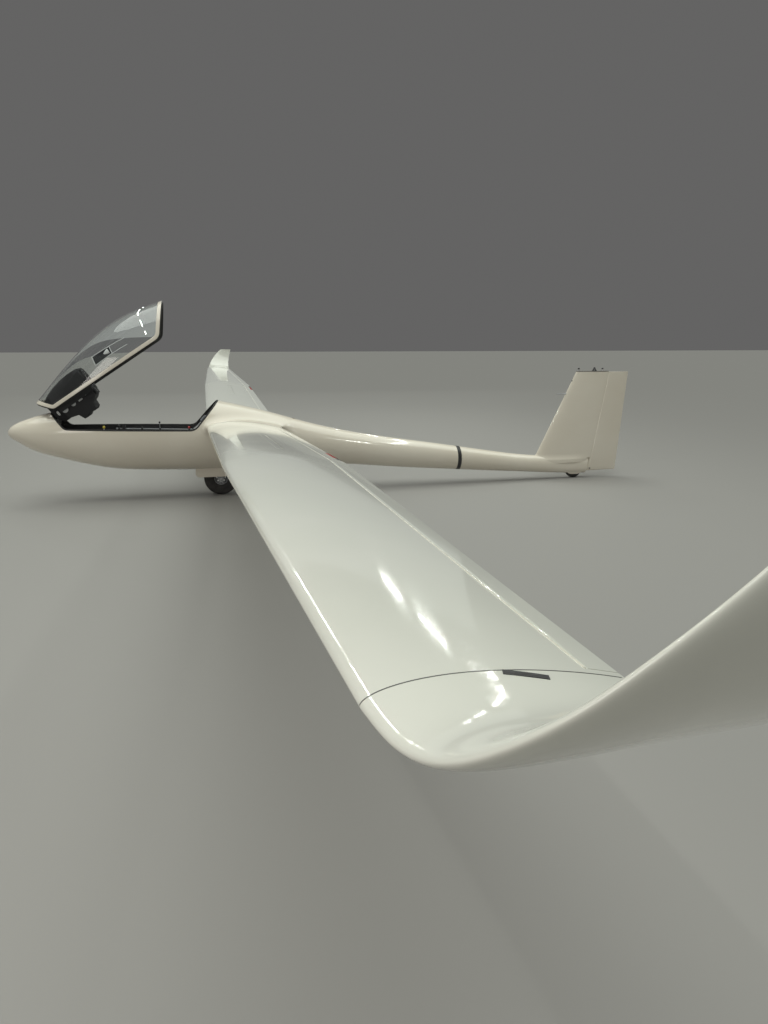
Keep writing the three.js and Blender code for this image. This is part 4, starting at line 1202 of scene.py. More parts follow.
def bay_door():
    """A door of the wheel bay: a thin panel with rounded lower corners, bowed a little outwards."""
    rings = []
    front, rear, corner = WHEEL_BAY["front"] + 4, WHEEL_BAY["rear"] - 4, DOOR["corner"]
    quarter = corner * (1 - np.cos(np.linspace(0, math.pi / 2, 9)))
    for s in np.concatenate([front + quarter, np.linspace(front + 60, rear - 60, 14), rear - quarter[::-1]]):
        near = min(s - front, rear - s, corner) / corner
        foot = DOOR["foot"] + corner * (1 - math.sqrt(max(1 - (1 - near) ** 2, 0)))
        ring = []
        for z in np.linspace(foot, DOOR["top"], 9):
            bow = DOOR["bow"] * math.sin(math.pi * (z - DOOR["foot"]) / (DOOR["top"] - DOOR["foot"]))
            ring.append((s, DOOR["offset"] + bow, z))
        rings.append(ring + [(s, y - DOOR["thick"], z) for s, y, z in ring[::-1]])
    return loft("bay_door_left", rings)


def wheel_cheek():
    """A low fairing beside the tail wheel, drawn in at its ends and rounded along its foot."""
    rings = []
    for share in np.linspace(-1, 1, 31):
        drop = max(1 - abs(share) ** 3.5, 0)
        foot, top = CHEEK["end"] + (CHEEK["foot"] - CHEEK["end"]) * drop, CHEEK["top"]
        ring = [(37, top), (37, foot + 3), (38.5, foot), (42, foot), (45, foot + 4), (48, top)]
        rings.append([(CHEEK["station"] + CHEEK["half"] * share, y, z) for y, z in ring])
    return loft("tail_wheel_cheek_left", rings)


finish_pair(bay_door(), fuselage_gelcoat, "airframe", ["gear_door_left"])
finish_pair(wheel_cheek(), fuselage_gelcoat, "airframe")

# Canopy
# One blown bubble of clear acrylic, glued into a moulded frame with a black rubber-faced flange. It is hinged
# low in the nose, carries the instrument pod up with it, and stands open on a gas strut.
HINGE = (212, 722.5)
OPEN_ANGLE = 35
RIM_EDGE = 6.5
RIM_WIDTH = 35
RIM_DEPTH = 22


def opened(piece):
    """Turns a piece that was drawn with the canopy shut to where it stands with the canopy open."""
    hinge = Matrix.Translation(Vector(to_frame((HINGE[0], 0, HINGE[1]))))
    turn = Matrix.Rotation(math.radians(OPEN_ANGLE), 4, "Y")
    piece.data.transform(hinge @ turn @ hinge.inverted())
    return piece


def rim_half(inset, depth):
    """The left half of the opening's edge on the shell's skin, drawn in by an inset, below it by a depth."""
    steps = 60
    line = opening_line(inset, steps)
    front, rear = line[1 : steps + 1], line[steps + 1 : 2 * steps + 1]

    def upright(start, corner, count):
        s = np.linspace(start[0], corner[0], 900)
        z = start[1] + (corner[1] - start[1]) * (s - start[0]) / (corner[0] - start[0])
        top, bottom = body_at(s)[:, 0] - depth, body_at(s)[:, 1] + depth
        up = (z - (top + bottom) / 2) / ((top - bottom) / 2)
        inside = up <= 1
        s, z, angle = s[inside], z[inside], np.arccos(np.clip(up[inside], -1, 1))
        even = np.linspace(0, angle[-1], count)
        even[0] = angle[0]
        return np.stack([np.interp(even, angle, s), np.interp(even, angle, z)], axis=-1)

    first = upright(line[0], front[0], 34)
    last = upright(line[-1], rear[-1], 40)[::-1]
    front_arc, rear_arc = [
        arc[np.linspace(0, steps - 1, count).round().astype(int)] for arc, count in ((front, 10), (rear, 12))
    ]
    sill = np.linspace(front[-1], rear[0], 56)
    path = np.concatenate([first[:-1], front_arc[:-1], sill[:-1], rear_arc[:-1], last])
    y = body_side(path[:, 0], path[:, 1], depth)
    y[0] = y[-1] = 0
    return np.stack([path[:, 0], y, path[:, 1]], axis=-1)


def round_rim(name, profile):
    """A ring round the opening whose section is a closed line of insets and depths."""
    lines = []
    for inset, depth in profile:
        left = rim_half(inset, depth)
        lines.append(np.concatenate([left, left[-2:0:-1] * (1, -1, 1)]))
    return loft(name, np.stack(lines, axis=1), path_closed=True)


inner, outer = RIM_EDGE, RIM_EDGE + RIM_WIDTH
frame_profile = [
    (inner, 2.5), (inner + 0.8, 0.8), (inner + 2.5, 0), (inner + 12, 0), (inner + 28, 0), (outer - 1.5, 0),
    (outer, 0.8), (outer, 8), (outer - 4, RIM_DEPTH - 2), (outer - 7, RIM_DEPTH), (inner + 3, RIM_DEPTH),
    (inner, RIM_DEPTH - 3),
]
flange_profile = [
    (-4.5, 18.4), (-5.6, 19.6), (-4.5, 21.4), (outer - 18, 23.4), (outer - 18, 19), (inner + 6, 18.4),
]
sill_profile = [
    (-9, -1.3), (-7, -1.6), (1.4, -1.6), (3.8, 0.5), (4.4, 5), (4.2, 11), (1.8, 16.2), (-9, 16.4),
    (-9, 14.4), (-0.6, 14.2), (-0.4, 0.3), (-9, -0.1),
]
canopy_cream = gelcoat("canopy_frame_gelcoat", (0.80, 0.74, 0.65), (0.76, 0.70, 0.60))
canopy_frame = opened(round_rim("canopy_rim", frame_profile))
finish(canopy_frame, canopy_cream, "canopy", ["canopy_frame"], smooth=40)
finish(opened(round_rim("canopy_rim_rubber", flange_profile)), rubber, "canopy", smooth=40)
finish(round_rim("cockpit_edge_rubber", sill_profile), rubber, "airframe", smooth=40)

acrylic = new_material(
    "canopy_acrylic", Base_Color=(0.955, 0.975, 0.97, 1), Transmission_Weight=1.0, IOR=1.49, Roughness=0.0
)
BUBBLE_WALL = 4
bubble = loft("canopy_bubble_skin", body_rings(*CAVITY, 0, points=160))
carve(bubble, loft("hollow", body_rings(CAVITY[0] - 20, CAVITY[1] + 20, BUBBLE_WALL, points=160)))
carve(bubble, above_sill(outer + 0.4), "INTERSECT")
finish(opened(bubble), acrylic, "canopy", ["canopy_bubble"], smooth=30)


def on_bubble(s, z, lift):
    """A point on the left of the shut bubble, lifted off its skin."""
    return (s, float(body_side(s, z, -lift)), z)


WINDOW = [(1148, 856), (1164, 930), (1346, 918), (1332, 858)]
PANE = {"lift": 3.6, "thick": 2.6}


def sliding_pane():
    """A curved pane on the bubble between the window's four corners."""
    a, b, c, d = [np.array(corner, float) for corner in WINDOW]
    rings = []
    for u in np.linspace(0, 1, 16):
        low, high = a + (d - a) * u, b + (c - b) * u
        rise = [low + (high - low) * v for v in np.linspace(0, 1, 6)]
        outside = [on_bubble(*spot, PANE["lift"]) for spot in rise]
        rings.append(outside + [on_bubble(*spot, PANE["lift"] - PANE["thick"]) for spot in rise[::-1]])
    return opened(loft("sliding_pane", rings))


# The sliding pane's glass is tinted almost black: painted shade, for the dark room seen through the window.
pane_shade_glass = new_material(
    "pane_acrylic_painted_shade", Base_Color=(0.16, 0.17, 0.18, 1), Transmission_Weight=1.0, IOR=1.49, Roughness=0.02
)
clear_edge = dress(
    new_material("pane_edge_clear", IOR=1.49, Alpha=0.75),
    (0.80, 0.83, 0.83), (0.70, 0.73, 0.74), (0.18, 0.32), (0.05, 0.0003), patch=30, grain=300,
)
finish(sliding_pane(), pane_shade_glass, "canopy")
PANE_RAILS = {
    "window_rail_upper": [(1158, 936), (1250, 931), (1350, 924), (1440, 915), (1520, 904)],
    "window_rail_lower": [(1140, 851), (1235, 852), (1332, 853), (1425, 848), (1505, 840)],
    "window_rail_front": [(1158, 936), (1149, 893), (1140, 851)],
    "window_rail_rear": [(1353, 923), (1346, 888), (1338, 852)],
}
for name, knots in PANE_RAILS.items():
    share, knot_share = np.linspace(0, 1, 24), np.linspace(0, 1, len(knots))
    line = np.stack([np.interp(share, knot_share, column) for column in np.transpose(knots)], axis=-1)
    path = [on_bubble(*spot, 2.2) for spot in line]
    rail = grown(wire(name, path), ROUND_BEAD, Radius=0.0032, Material=clear_edge)
    finish(opened(rail), clear_edge, "canopy", smooth=60)


SCOOP = {"station": 1268, "height": 893, "length": 58, "reach": 20, "rise": 17}


def air_scoop():
    """A small blister over a hole in the pane, open towards the tail."""
    rings = []
    for u in np.linspace(0, 1, 14):
        s, base = SCOOP["station"] + SCOOP["length"] * u, SCOOP["height"] - 2 * u
        grow = math.sin(math.pi / 2 * u) ** 0.8
        reach, rise = 4 + SCOOP["reach"] * grow, SCOOP["rise"] * grow
        arch, under = [], []
        for turn in np.linspace(0, math.pi, 15):
            arch.append(on_bubble(s, base + reach * math.cos(turn), 3.5 + rise * math.sin(turn)))
        for turn in np.linspace(math.pi, 0, 15):
            lift = max(3.2 + (rise - 1.2) * math.sin(turn), 3.1)
            under.append(on_bubble(s, base + (reach - 1.6) * math.cos(turn), lift))
        rings.append(arch + under)
    return opened(loft("pane_air_scoop", rings))


finish(air_scoop(), clear_edge, "canopy", smooth=50)

# Instrument pod
# A black moulded housing under the bubble's front, that swings up with the canopy: a curved hood above, and
# below it a stepped column of instruments, whose cases show beside the pilot's shins.
POD = {  # half width, distance inside the skin, softness of the edges, outline of stations and heights
    "nose": (115, 26, 5, [(495, 845), (560, 888), (640, 912), (640, 604), (548, 602), (508, 662)]),
    "hood": (190, 25, 7, [
        (571, 893), (633, 914), (747, 937), (855, 944), (955, 937), (966, 905), (969, 822), (962, 690),
        (589, 690),
    ]),
    "column": (168, 30, 4, [
        (604, 720), (604, 606), (698, 578), (722, 516), (752, 512), (800, 540), (846, 524), (872, 542),
        (882, 606), (912, 614), (943, 640), (957, 720),
    ]),
}
matt_black = dress(
    new_material("pod_black", IOR=1.45),
    (0.016, 0.016, 0.018), (0.030, 0.030, 0.032), (0.60, 0.85), (0.45, 0.0010),
    patch=10, grain=900, contrast=0.6,
)


def soften(piece, width, segments=3):
    """Rounds a piece's sharp edges."""
    bevel = piece.modifiers.new("round", "BEVEL")
    bevel.width = width / 1000
    bevel.segments = segments
    bevel.limit_method = "ANGLE"
    bevel.angle_limit = math.radians(30)
    apply_modifiers(piece)
    return piece


for name, (half, inset, softness, outline) in POD.items():
    piece = slab(f"pod_{name}", outline, -half, half)
    carve(piece, loft("room", body_rings(*CAVITY, inset, points=96)), "INTERSECT")
    if name == "nose":
        # The arms pass through the housing's nose.
        for offsets in ((71, 87), (-87, -71)):
            carve(piece, block("arm_room", 480, 592, *offsets, 580, 742))
    replaced = ["instrument_pod"] if name == "hood" else []
    finish(opened(soften(piece, softness)), matt_black, "canopy", replaced, smooth=40)

PANEL_FOOT, PANEL_TOP = np.array([959.0, 640.0]), np.array([970.5, 826.0])
panel_up = (PANEL_TOP - PANEL_FOOT) / np.linalg.norm(PANEL_TOP - PANEL_FOOT)
panel_out = np.array([panel_up[1], -panel_up[0]])


def on_panel(across, up, out):
    """A point of the instrument panel: across it, up from its foot, and out from its face."""
    s, z = PANEL_FOOT + panel_up * up + panel_out * out
    return (s, across, z)


def panel_plate():
    """The instruments' plate, narrow at its foot and arched at its top."""
    outline = [(-118, 2), (-150, 70), (-176, 150), (-166, 222), (-110, 272), (0, 290)]
    outline += [(-across, up) for across, up in outline[-2::-1]]
    rings = [[on_panel(across, up, out) for across, up in outline] for out in (-1, 3.2)]
    return soften(loft("instrument_panel", rings), 1.2, 2)


finish(opened(panel_plate()), matt_black, "canopy")

DIALS = [  # across, up, radius of the face
    (-62, 205, 37), (62, 205, 37), (0, 228, 28), (-66, 118, 28), (66, 118, 28), (0, 40, 26), (-112, 158, 14),
]


def tick_tree():
    """Short marks round a circle, each laid along its radius."""
    sizes = [("Radius", FLOAT, 0.03), ("Length", FLOAT, 0.004), ("Width", FLOAT, 0.0007)]
    tree, source, result = geometry_tree("dial_ticks", [("Count", "NodeSocketInt", 40), *sizes])
    ring = add(tree, "GeometryNodeMeshCircle")
    size = add(tree, "ShaderNodeCombineXYZ", {"Z": 0.0003})
    mark = add(tree, "GeometryNodeMeshCube")
    spot = add(tree, "GeometryNodeInputPosition")
    turn = add(tree, "FunctionNodeAlignRotationToVector", axis="Y")
    place = add(tree, "GeometryNodeInstanceOnPoints")
    connect(
        tree,
        (source, "Count", ring, "Vertices"),
        (source, "Radius", ring, "Radius"),
        (source, "Width", size, "X"),
        (source, "Length", size, "Y"),
        (size, "Vector", mark, "Size"),
        (spot, "Position", turn, "Vector"),
        (ring, "Mesh", place, "Points"),
        (mark, "Mesh", place, "Instance"),
        (turn, "Rotation", place, "Rotation"),
    )
    return painted(tree, source, result, place, "Instances")


DIAL_TICKS = tick_tree()
dial_face = dress(
    new_material("dial_face", IOR=1.45),
    (0.020, 0.020, 0.022), (0.028, 0.028, 0.030), (0.45, 0.55), (0.05, 0.0002), patch=40, grain=400,
)
dial_white = dress(
    new_material("dial_white", IOR=1.45),
    (0.78, 0.78, 0.74), (0.70, 0.70, 0.66), (0.40, 0.50), (0.05, 0.0002), patch=60, grain=500,
)
panel_axis = (panel_out[0], 0, panel_out[1])
facing = Vector((-panel_out[0], 0, panel_out[1])).to_track_quat("Z", "Y").to_matrix().to_4x4()
for number, (across, up, r) in enumerate(DIALS):
    centre = on_panel(across, up, 3)
    outline = [(0, -2), (r + 3.5, -2), (r + 3.5, 2.4), (r + 2.4, 3.4), (r + 0.6, 3), (r, 0.9), (0, 0.9)]
    case = opened(spun(f"dial_case_{number}", outline, centre, panel_axis, 40))
    finish(case, dial_face, "canopy", smooth=40)
    ticks = wire(f"dial_ticks_{number}", [centre])
    values = {"Count": 24, "Radius": r * 0.00084, "Length": r * 0.00018, "Width": 0.0009}
    grown(ticks, DIAL_TICKS, Material=dial_white, **values)
    facing.translation = Vector(to_frame(on_panel(across, up, 4.1)))
    ticks.data.transform(facing)
    finish(opened(ticks), dial_white, "canopy")
    # Each needle rests at an angle of its own.
    angle = 2.2 * number + 0.7
    reach = np.array([math.sin(angle), math.cos(angle)]) * r
    ends = [on_panel(*((across, up) + reach * share), 4.6) for share in (-0.2, 0.72)]
    needle = grown(wire(f"dial_needle_{number}", ends), ROUND_BEAD, Radius=0.0008, Material=dial_white)
    finish(opened(needle), dial_white, "canopy")

CASE_OFFSET = 172
SIDE_CASES = [  # station, height, half length, half height, outline
    (560, 700, 7, 24, "square"), (630, 692, 30, 30, "round"), (727, 693, 24, 24, "round"),
    (806, 696, 22, 20, "square"), (872, 702, 14, 14, "round"),
]
case_grey = dress(
    new_material("case_grey", IOR=1.5),
    (0.55, 0.56, 0.56), (0.42, 0.43, 0.44), (0.35, 0.55), (0.10, 0.0004), patch=20, grain=400,
)
for number, (s, z, half, tall, kind) in enumerate(SIDE_CASES):
    for side, label in ((1, "left"), (-1, "right")):
        name, y = f"pod_case_{number}_{label}", side * CASE_OFFSET
        if kind == "round":
            outline = [(0, -30), (half, -30), (half, 3), (half - 2, 5), (half - 5, 5), (half - 6, 3), (0, 3)]
            case = spun(name, outline, (s, y, z), (0, side, 0), 32)
        else:
            case = soften(block(name, s - half, s + half, y - 12, y + 5, z - tall, z + tall), 2)
            for shift in (-7, 7):
                at, y_bar = s + shift, y + 5 * side
                bar = block(f"pod_bar_{number}_{label}_{shift}", at - 2.5, at + 2.5,
                            y_bar - 2, y_bar + 1.5, z - tall + 8, z + tall - 8)
                finish(opened(soften(bar, 0.8, 2)), dial_white, "canopy")
        finish(opened(case), case_grey, "canopy")

# Strut, arms and hinge
# Painted steel arms run from the hinge bolts into the pod, and a gas strut with a bright rod pushes them up.
# The undercarriage's legs, tube and axles are finished here too, in the same paint and plating.
def painted_nodes(material, *names):
    """Gives nodes of the frame, whose shapes stay, their finish."""
    for name in names:
        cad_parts[name].data.materials.clear()
        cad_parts[name].data.materials.append(material)


painted_nodes(grey_metal, "gear_leg_left", "gear_leg_right", "canopy_arms")
painted_nodes(steel, "gear_cross_tube", "main_axle", "tail_axle")
painted_nodes(steel, "strut_rod", "strut_foot", "canopy_hinge_bracket")
painted_nodes(black_plastic, "strut_cylinder")

# Cockpit tub
# The pilot lies back in a thin moulded pan. A floor and a bulkhead close the space, all in a satin speckled
# grey. A near-black sheet inside the shell's walls is painted shade, so the walls round the cockpit look
# dark.
SHADE_SHEET = (420, 1985)
SEAT = [(1010, 500), (1160, 455), (1340, 372), (1480, 352), (1600, 420), (1740, 625), (1930, 820)]
SEAT_ROLL = [(420, 34), (260, 4)]  # distance from the seat's top, and how high its edges roll up there
cockpit_paint = dress(
    new_material("cockpit_paint", IOR=1.5),
    (0.56, 0.56, 0.54), (0.40, 0.40, 0.40), (0.42, 0.60), (0.12, 0.0006),
    patch=160, grain=420, contrast=0.9,
)


def seat_rows():
    """The seat's middle line in even steps with rounded corners, and its upward normals."""
    along = lengths(SEAT)
    even = np.linspace(0, along[-1], 120)
    line = np.stack([np.interp(even, along, column) for column in np.transpose(SEAT)], axis=-1)
    for _ in range(60):
        line[1:-1] = (line[:-2] + 2 * line[1:-1] + line[2:]) / 4
    way = np.gradient(line, axis=0)
    way /= np.linalg.norm(way, axis=1)[:, None]
    return line, np.stack([-way[:, 1], way[:, 0]], axis=-1), even


seat_line, seat_normal, seat_along = seat_rows()


def on_seat(distance, across, rise):
    """A point over the seat at a distance along its line, across it, and above it."""
    base = [np.interp(distance, seat_along, seat_line[:, k]) for k in (0, 1)]
    up = [np.interp(distance, seat_along, seat_normal[:, k]) for k in (0, 1)]
    return (base[0] + up[0] * rise, across, base[1] + up[1] * rise)


def seat_pan():
    """The pan: flat where the pilot lies, and rolled up to the hull along both sides, less so at its top."""
    rings = []
    down, rolls = np.transpose(SEAT_ROLL)
    for distance in np.linspace(0, seat_along[-1], 90):
        roll = np.interp(distance, seat_along[-1] - down, rolls)
        upper, lower = [], []
        for share in np.linspace(-1, 1, 33):
            rise = roll * np.clip((abs(share) - 0.66) / 0.34, 0, 1) ** 2
            for row, half in ((upper, 3), (lower, -3)):
                s, _, z = on_seat(distance, 0, rise + half)
                row.append((s, share * float(body_side(s, z, SHELL_WALL + 0.6)), z))
        rings.append(upper + lower[::-1])
    return loft("seat_shell", rings)


finish(seat_pan(), cockpit_paint, "airframe", ["seat_pan"], smooth=40)
# The sheet's near-black colour is painted shade on the cockpit's side walls.
shade_sheet_paint = dress(
    new_material("side_wall_painted_shade", IOR=1.35),
    (0.036, 0.036, 0.038), (0.055, 0.054, 0.054), (0.85, 0.95), (0.4, 0.001), patch=12, grain=900,
)
shade_sheet = loft("side_shade_sheet", body_rings(*SHADE_SHEET, SHELL_WALL + 0.2, points=96))
carve(shade_sheet, loft("shade_sheet_room", body_rings(SHADE_SHEET[0] - 20, SHADE_SHEET[1] + 20, SHELL_WALL + 1.8, points=96)))
carve(shade_sheet, above_sill(1.0))
finish(shade_sheet, shade_sheet_paint, "airframe", smooth=40)
painted_nodes(cockpit_paint, "cockpit_floor", "rear_bulkhead", "wheel_box")

# Cushion and headrest
# Foam in a dark woven cover, sewn across into five pads and laid in the pan. The headrest is a small pad of
# the same cloth at the top.


def weave_group():
    """Threads that pass over and under each other: a height, and a mask of the threads on top."""
    tree, source, result = node_group("weave", [("Threads", 900.0)], ["Height", "Over"])
    place = add(tree, "ShaderNodeTexCoord")
    waves = []
    for direction in ("X", "Y"):
        bands = {"wave_type": "BANDS", "bands_direction": direction}
        waves.append(add(tree, "ShaderNodeTexWave", {"Distortion": 0.6}, **bands))
        connect(tree, (place, "Object", waves[-1], "Vector"), (source, "Threads", waves[-1], "Scale"))
    height = add(tree, "ShaderNodeMath", operation="MAXIMUM")
    over = add(tree, "ShaderNodeMath", operation="GREATER_THAN")
    for k, wave in enumerate(waves):
        connect(tree, (wave, "Fac", height, k), (wave, "Fac", over, k))
    connect(tree, (height, 0, result, "Height"), (over, 0, result, "Over"))
    return tree


WEAVE = weave_group()


def woven(name, light, dark, threads, depth):
    """A cloth whose two thread colours and relief come from the weave."""
    made = new_material(name, Roughness=0.9, Sheen_Weight=0.25, Sheen_Roughness=0.5, IOR=1.4)
    tree = made.node_tree
    shader = tree.nodes["Principled BSDF"]
    cloth = add(tree, "ShaderNodeGroup", {"Threads": threads}, node_tree=WEAVE)
    wear = add(tree, "ShaderNodeGroup", {"Patch Scale": 9}, node_tree=MOTTLE)
    mixed = add(tree, "ShaderNodeMix", {"A": (*dark, 1), "B": (*light, 1)}, data_type="RGBA")
    worn = add(tree, "ShaderNodeMix", {"B": (*[c * 1.5 for c in light], 1)}, data_type="RGBA")
    amount = add(tree, "ShaderNodeMath", {1: 0.3}, operation="MULTIPLY")
    relief = add(tree, "ShaderNodeBump", {"Strength": 0.5, "Distance": depth})
    connect(
        tree,
        (cloth, "Over", mixed, "Factor"),
        (mixed, "Result", worn, "A"),
        (wear, "Patches", amount, 0),
        (amount, 0, worn, "Factor"),
        (worn, "Result", shader, "Base Color"),
        (cloth, "Height", relief, "Height"),
        (relief, "Normal", shader, "Normal"),
    )
    return made


cushion_cloth = woven("cushion_cloth", (0.085, 0.090, 0.105), (0.040, 0.042, 0.050), 420, 0.0008)
webbing = woven("harness_webbing", (0.30, 0.31, 0.33), (0.17, 0.18, 0.20), 520, 0.0006)
knot_distance = lengths(SEAT)
CUSHION = {"start": knot_distance[2] + 8, "end": knot_distance[5] - 6, "half": 158, "rise": 17.5, "thick": 20}
SEAMS = np.linspace(CUSHION["start"], CUSHION["end"], 6)[1:-1]


def pad(name, place, start, end, half, rise, thick):
    """A flat pad with round edges between two distances along the seat."""
    rings = []
    length = end - start
    for share in np.linspace(0, 1, 40):
        near = min(share, 1 - share) * length / 16
        close = math.sqrt(1 - (1 - min(near, 1)) ** 2) if near < 1 else 1
        ring = []
        for turn in np.linspace(0, 2 * math.pi, 40, endpoint=False):
            c, s = math.cos(turn), math.sin(turn)
            across = (half - 10 * (1 - close)) * math.copysign(abs(c) ** 0.25, c)
            up = thick / 2 * max(close, 0.15) * math.copysign(abs(s) ** 0.5, s)
            ring.append(place(start + length * share, across, rise + up))
        rings.append(ring)
    return loft(name, rings)


COVER = {"voxel": 5, "pressure": 4, "cap": 5}


def stuffed(piece):
    """Lets the cover swell: cloth under pressure, with its movement capped in millimetres."""
    remesh = piece.modifiers.new("remesh", "REMESH")
    remesh.mode = "VOXEL"
    remesh.voxel_size = COVER["voxel"] / 1000
    apply_modifiers(piece)
    start = np.array([v.co for v in piece.data.vertices])
    cloth = piece.modifiers.new("cloth", "CLOTH")
    cloth.settings.use_pressure = True
    cloth.settings.uniform_pressure_force = COVER["pressure"]
    cloth.settings.effector_weights.gravity = 0
    cloth.settings.quality = 4
    for number in range(1, 21):
        bpy.context.scene.frame_set(number)
    apply_modifiers(piece)
    bpy.context.scene.frame_set(1)
    end = np.array([v.co for v in piece.data.vertices])
    move = end - start
    size = np.linalg.norm(move, axis=1)[:, None]
    end = start + move * np.minimum(1, COVER["cap"] / 1000 / np.maximum(size, 1e-9))
    piece.data.vertices.foreach_set("co", end.ravel())
    fine = piece.modifiers.new("fine", "SUBSURF")
    fine.levels = fine.render_levels = 1
    apply_modifiers(piece)
    return piece


def seamed(piece, seams, depth):
    """Draws the cover in along each sewn channel, towards the pad's middle."""
    points = np.array([v.co for v in piece.data.vertices])
    s, z = (NOSE_X - points[:, 0]) * 1000, points[:, 2] * 1000
    away = (s[:, None] - seat_line[None, :, 0]) ** 2 + (z[:, None] - seat_line[None, :, 1]) ** 2
    near = away.argmin(axis=1)
    distance = seat_along[near]
    rise = (s - seat_line[near, 0]) * seat_normal[near, 0] + (z - seat_line[near, 1]) * seat_normal[near, 1]
    pull = sum(np.exp(-(((distance - seam) / 7) ** 2)) for seam in seams)
    drop = np.where(rise > CUSHION["rise"], depth * pull, 0)
    s = s - seat_normal[near, 0] * drop
    z = z - seat_normal[near, 1] * drop
    points[:, 0], points[:, 2] = NOSE_X - s / 1000, z / 1000
    piece.data.vertices.foreach_set("co", points.ravel())
    piece.data.update()
    return piece


cushion = seamed(stuffed(pad("seat_pad", on_seat, **CUSHION)), SEAMS, depth=7)
finish(cushion, cushion_cloth, "airframe", ["seat_cushion"], smooth=60)

HEAD = np.array([(1866, 754.3), (1926, 815.9)])
HEAD_PAD = {"start": 2, "end": 84, "half": 90, "rise": 23.4, "thick": 30}
head_way = (HEAD[1] - HEAD[0]) / np.linalg.norm(HEAD[1] - HEAD[0])
head_up = np.array([-head_way[1], head_way[0]])


def on_head(distance, across, rise):
    """A point over the seat's top, where the headrest lies."""
    s, z = HEAD[0] + head_way * distance + head_up * rise
    return (s, across, z)


head_pad = stuffed(pad("head_pad", on_head, **HEAD_PAD))
finish(head_pad, cushion_cloth, "airframe", ["headrest"], smooth=60)


def stitch_tree():
    """Short thread stitches set at even steps along a path."""
    inputs = [("Spacing", FLOAT, 0.006), ("Length", FLOAT, 0.004), ("Thread", FLOAT, 0.0005)]
    tree, source, result = geometry_tree("stitches", inputs)
    path = add(tree, "GeometryNodeMeshToCurve")
    steps = add(tree, "GeometryNodeCurveToPoints", mode="LENGTH")
    thread = add(tree, "GeometryNodeMeshCylinder", {"Vertices": 6})
    place = add(tree, "GeometryNodeInstanceOnPoints")
    connect(
        tree,
        (source, "Geometry", path, "Mesh"),
        (path, "Curve", steps, "Curve"),
        (source, "Spacing", steps, "Length"),
        (source, "Thread", thread, "Radius"),
        (source, "Length", thread, "Depth"),
        (steps, "Points", place, "Points"),
        (steps, "Rotation", place, "Rotation"),
        (thread, "Mesh", place, "Instance"),
    )
    return painted(tree, source, result, place, "Instances")


STITCHES = stitch_tree()
thread_grey = dress(
    new_material("sewing_thread", Roughness=0.8),
    (0.34, 0.35, 0.36), (0.26, 0.27, 0.28), (0.7, 0.9), (0.1, 0.0002), patch=60, grain=900,
)


def stitched(name, points):
    """A row of stitches along points in millimetres."""
    values = {"Spacing": 0.0065, "Length": 0.0042, "Thread": 0.0006}
    made = grown(wire(name, points), STITCHES, Material=thread_grey, **values)
    finish(made, thread_grey, "airframe")


# Harness
# Two shoulder straps and two lap straps of flat woven webbing, sewn along both edges, run from the top and
# the sides of the pan and meet in a round steel buckle on the cushion.
BUCKLE = seat_along[-1] * 0.44
WEBBING = {"width": 42, "thick": 1.6}


def strap(name, centre):
    """Flat webbing along points over the seat: rows of distance, across and rise."""
    knots = np.array(centre, float)
    share = np.linspace(0, 1, len(knots))
    rows = even_rows(knots, share, np.linspace(0, 1, 60), passes=3)
    spots = np.array([on_seat(*row) for row in rows])
    way = np.gradient(spots, axis=0)
    rings = []
    for spot, on, row in zip(spots, way, rows):
        up = [np.interp(row[0], seat_along, seat_normal[:, k]) for k in (0, 1)]
        normal = np.array([up[0], 0, up[1]])
        across = np.cross(on, normal)
        across *= WEBBING["width"] / 2 / np.linalg.norm(across)
        lift = normal * WEBBING["thick"] / 2
        rings.append([spot - across - lift, spot - across + lift, spot + across + lift, spot + across - lift])
    piece = loft(name, rings)
    finish(piece, webbing, "airframe", smooth=40)
    for edge in (-1, 1):
        line = []
        for ring in rings[2:-2]:
            middle, rim = (ring[1] + ring[2]) / 2, ring[1] if edge < 0 else ring[2]
            line.append(middle + (rim - middle) * 0.82 + np.array([0, 0, 0.2]))
        stitched(f"{name}_stitches_{'left' if edge > 0 else 'right'}", np.array(line))


over = CUSHION["rise"] + CUSHION["thick"] / 2 + 6
for side, label in ((1, "left"), (-1, "right")):
    strap(f"shoulder_strap_{label}", [
        (seat_along[-1] - 60, side * 105, 5), (knot_distance[5], side * 98, over - 4),
        (knot_distance[4] + 60, side * 80, over + 2), (knot_distance[4] - 40, side * 52, over + 2),
        (BUCKLE + 28, side * 24, over + 3),
    ])
    strap(f"lap_strap_{label}", [
        (BUCKLE + 60, side * 185, 14), (BUCKLE + 48, side * 150, over), (BUCKLE + 22, side * 95, over + 1),
        (BUCKLE + 4, side * 32, over + 3),
    ])
buckle_centre = on_seat(BUCKLE, 0, over + 2)
buckle_up = tuple(np.subtract(on_seat(BUCKLE, 0, 100), on_seat(BUCKLE, 0, 0)) / 100)
buckle = [(0, -3), (30, -3), (32, 0), (32, 6), (29, 10), (24, 11), (23, 9.5), (10, 9.5), (9, 12), (0, 12.5)]
lathed("harness_buckle", buckle, buckle_centre, buckle_up, 48, steel, smooth=35)

# Controls
# Rods come out of the side walls and end in knobs by use: a yellow release, a blue airbrake handle, black
# trim and undercarriage levers, and a red jettison knob. A grip on a bent stick stands between the legs.


def coloured(name, light, dark):
    """A glossy moulded plastic for knobs."""
    made = new_material(name, IOR=1.5, Coat_Weight=0.2)
    return dress(made, light, dark, (0.25, 0.40), (0.08, 0.0004), patch=30, grain=300)


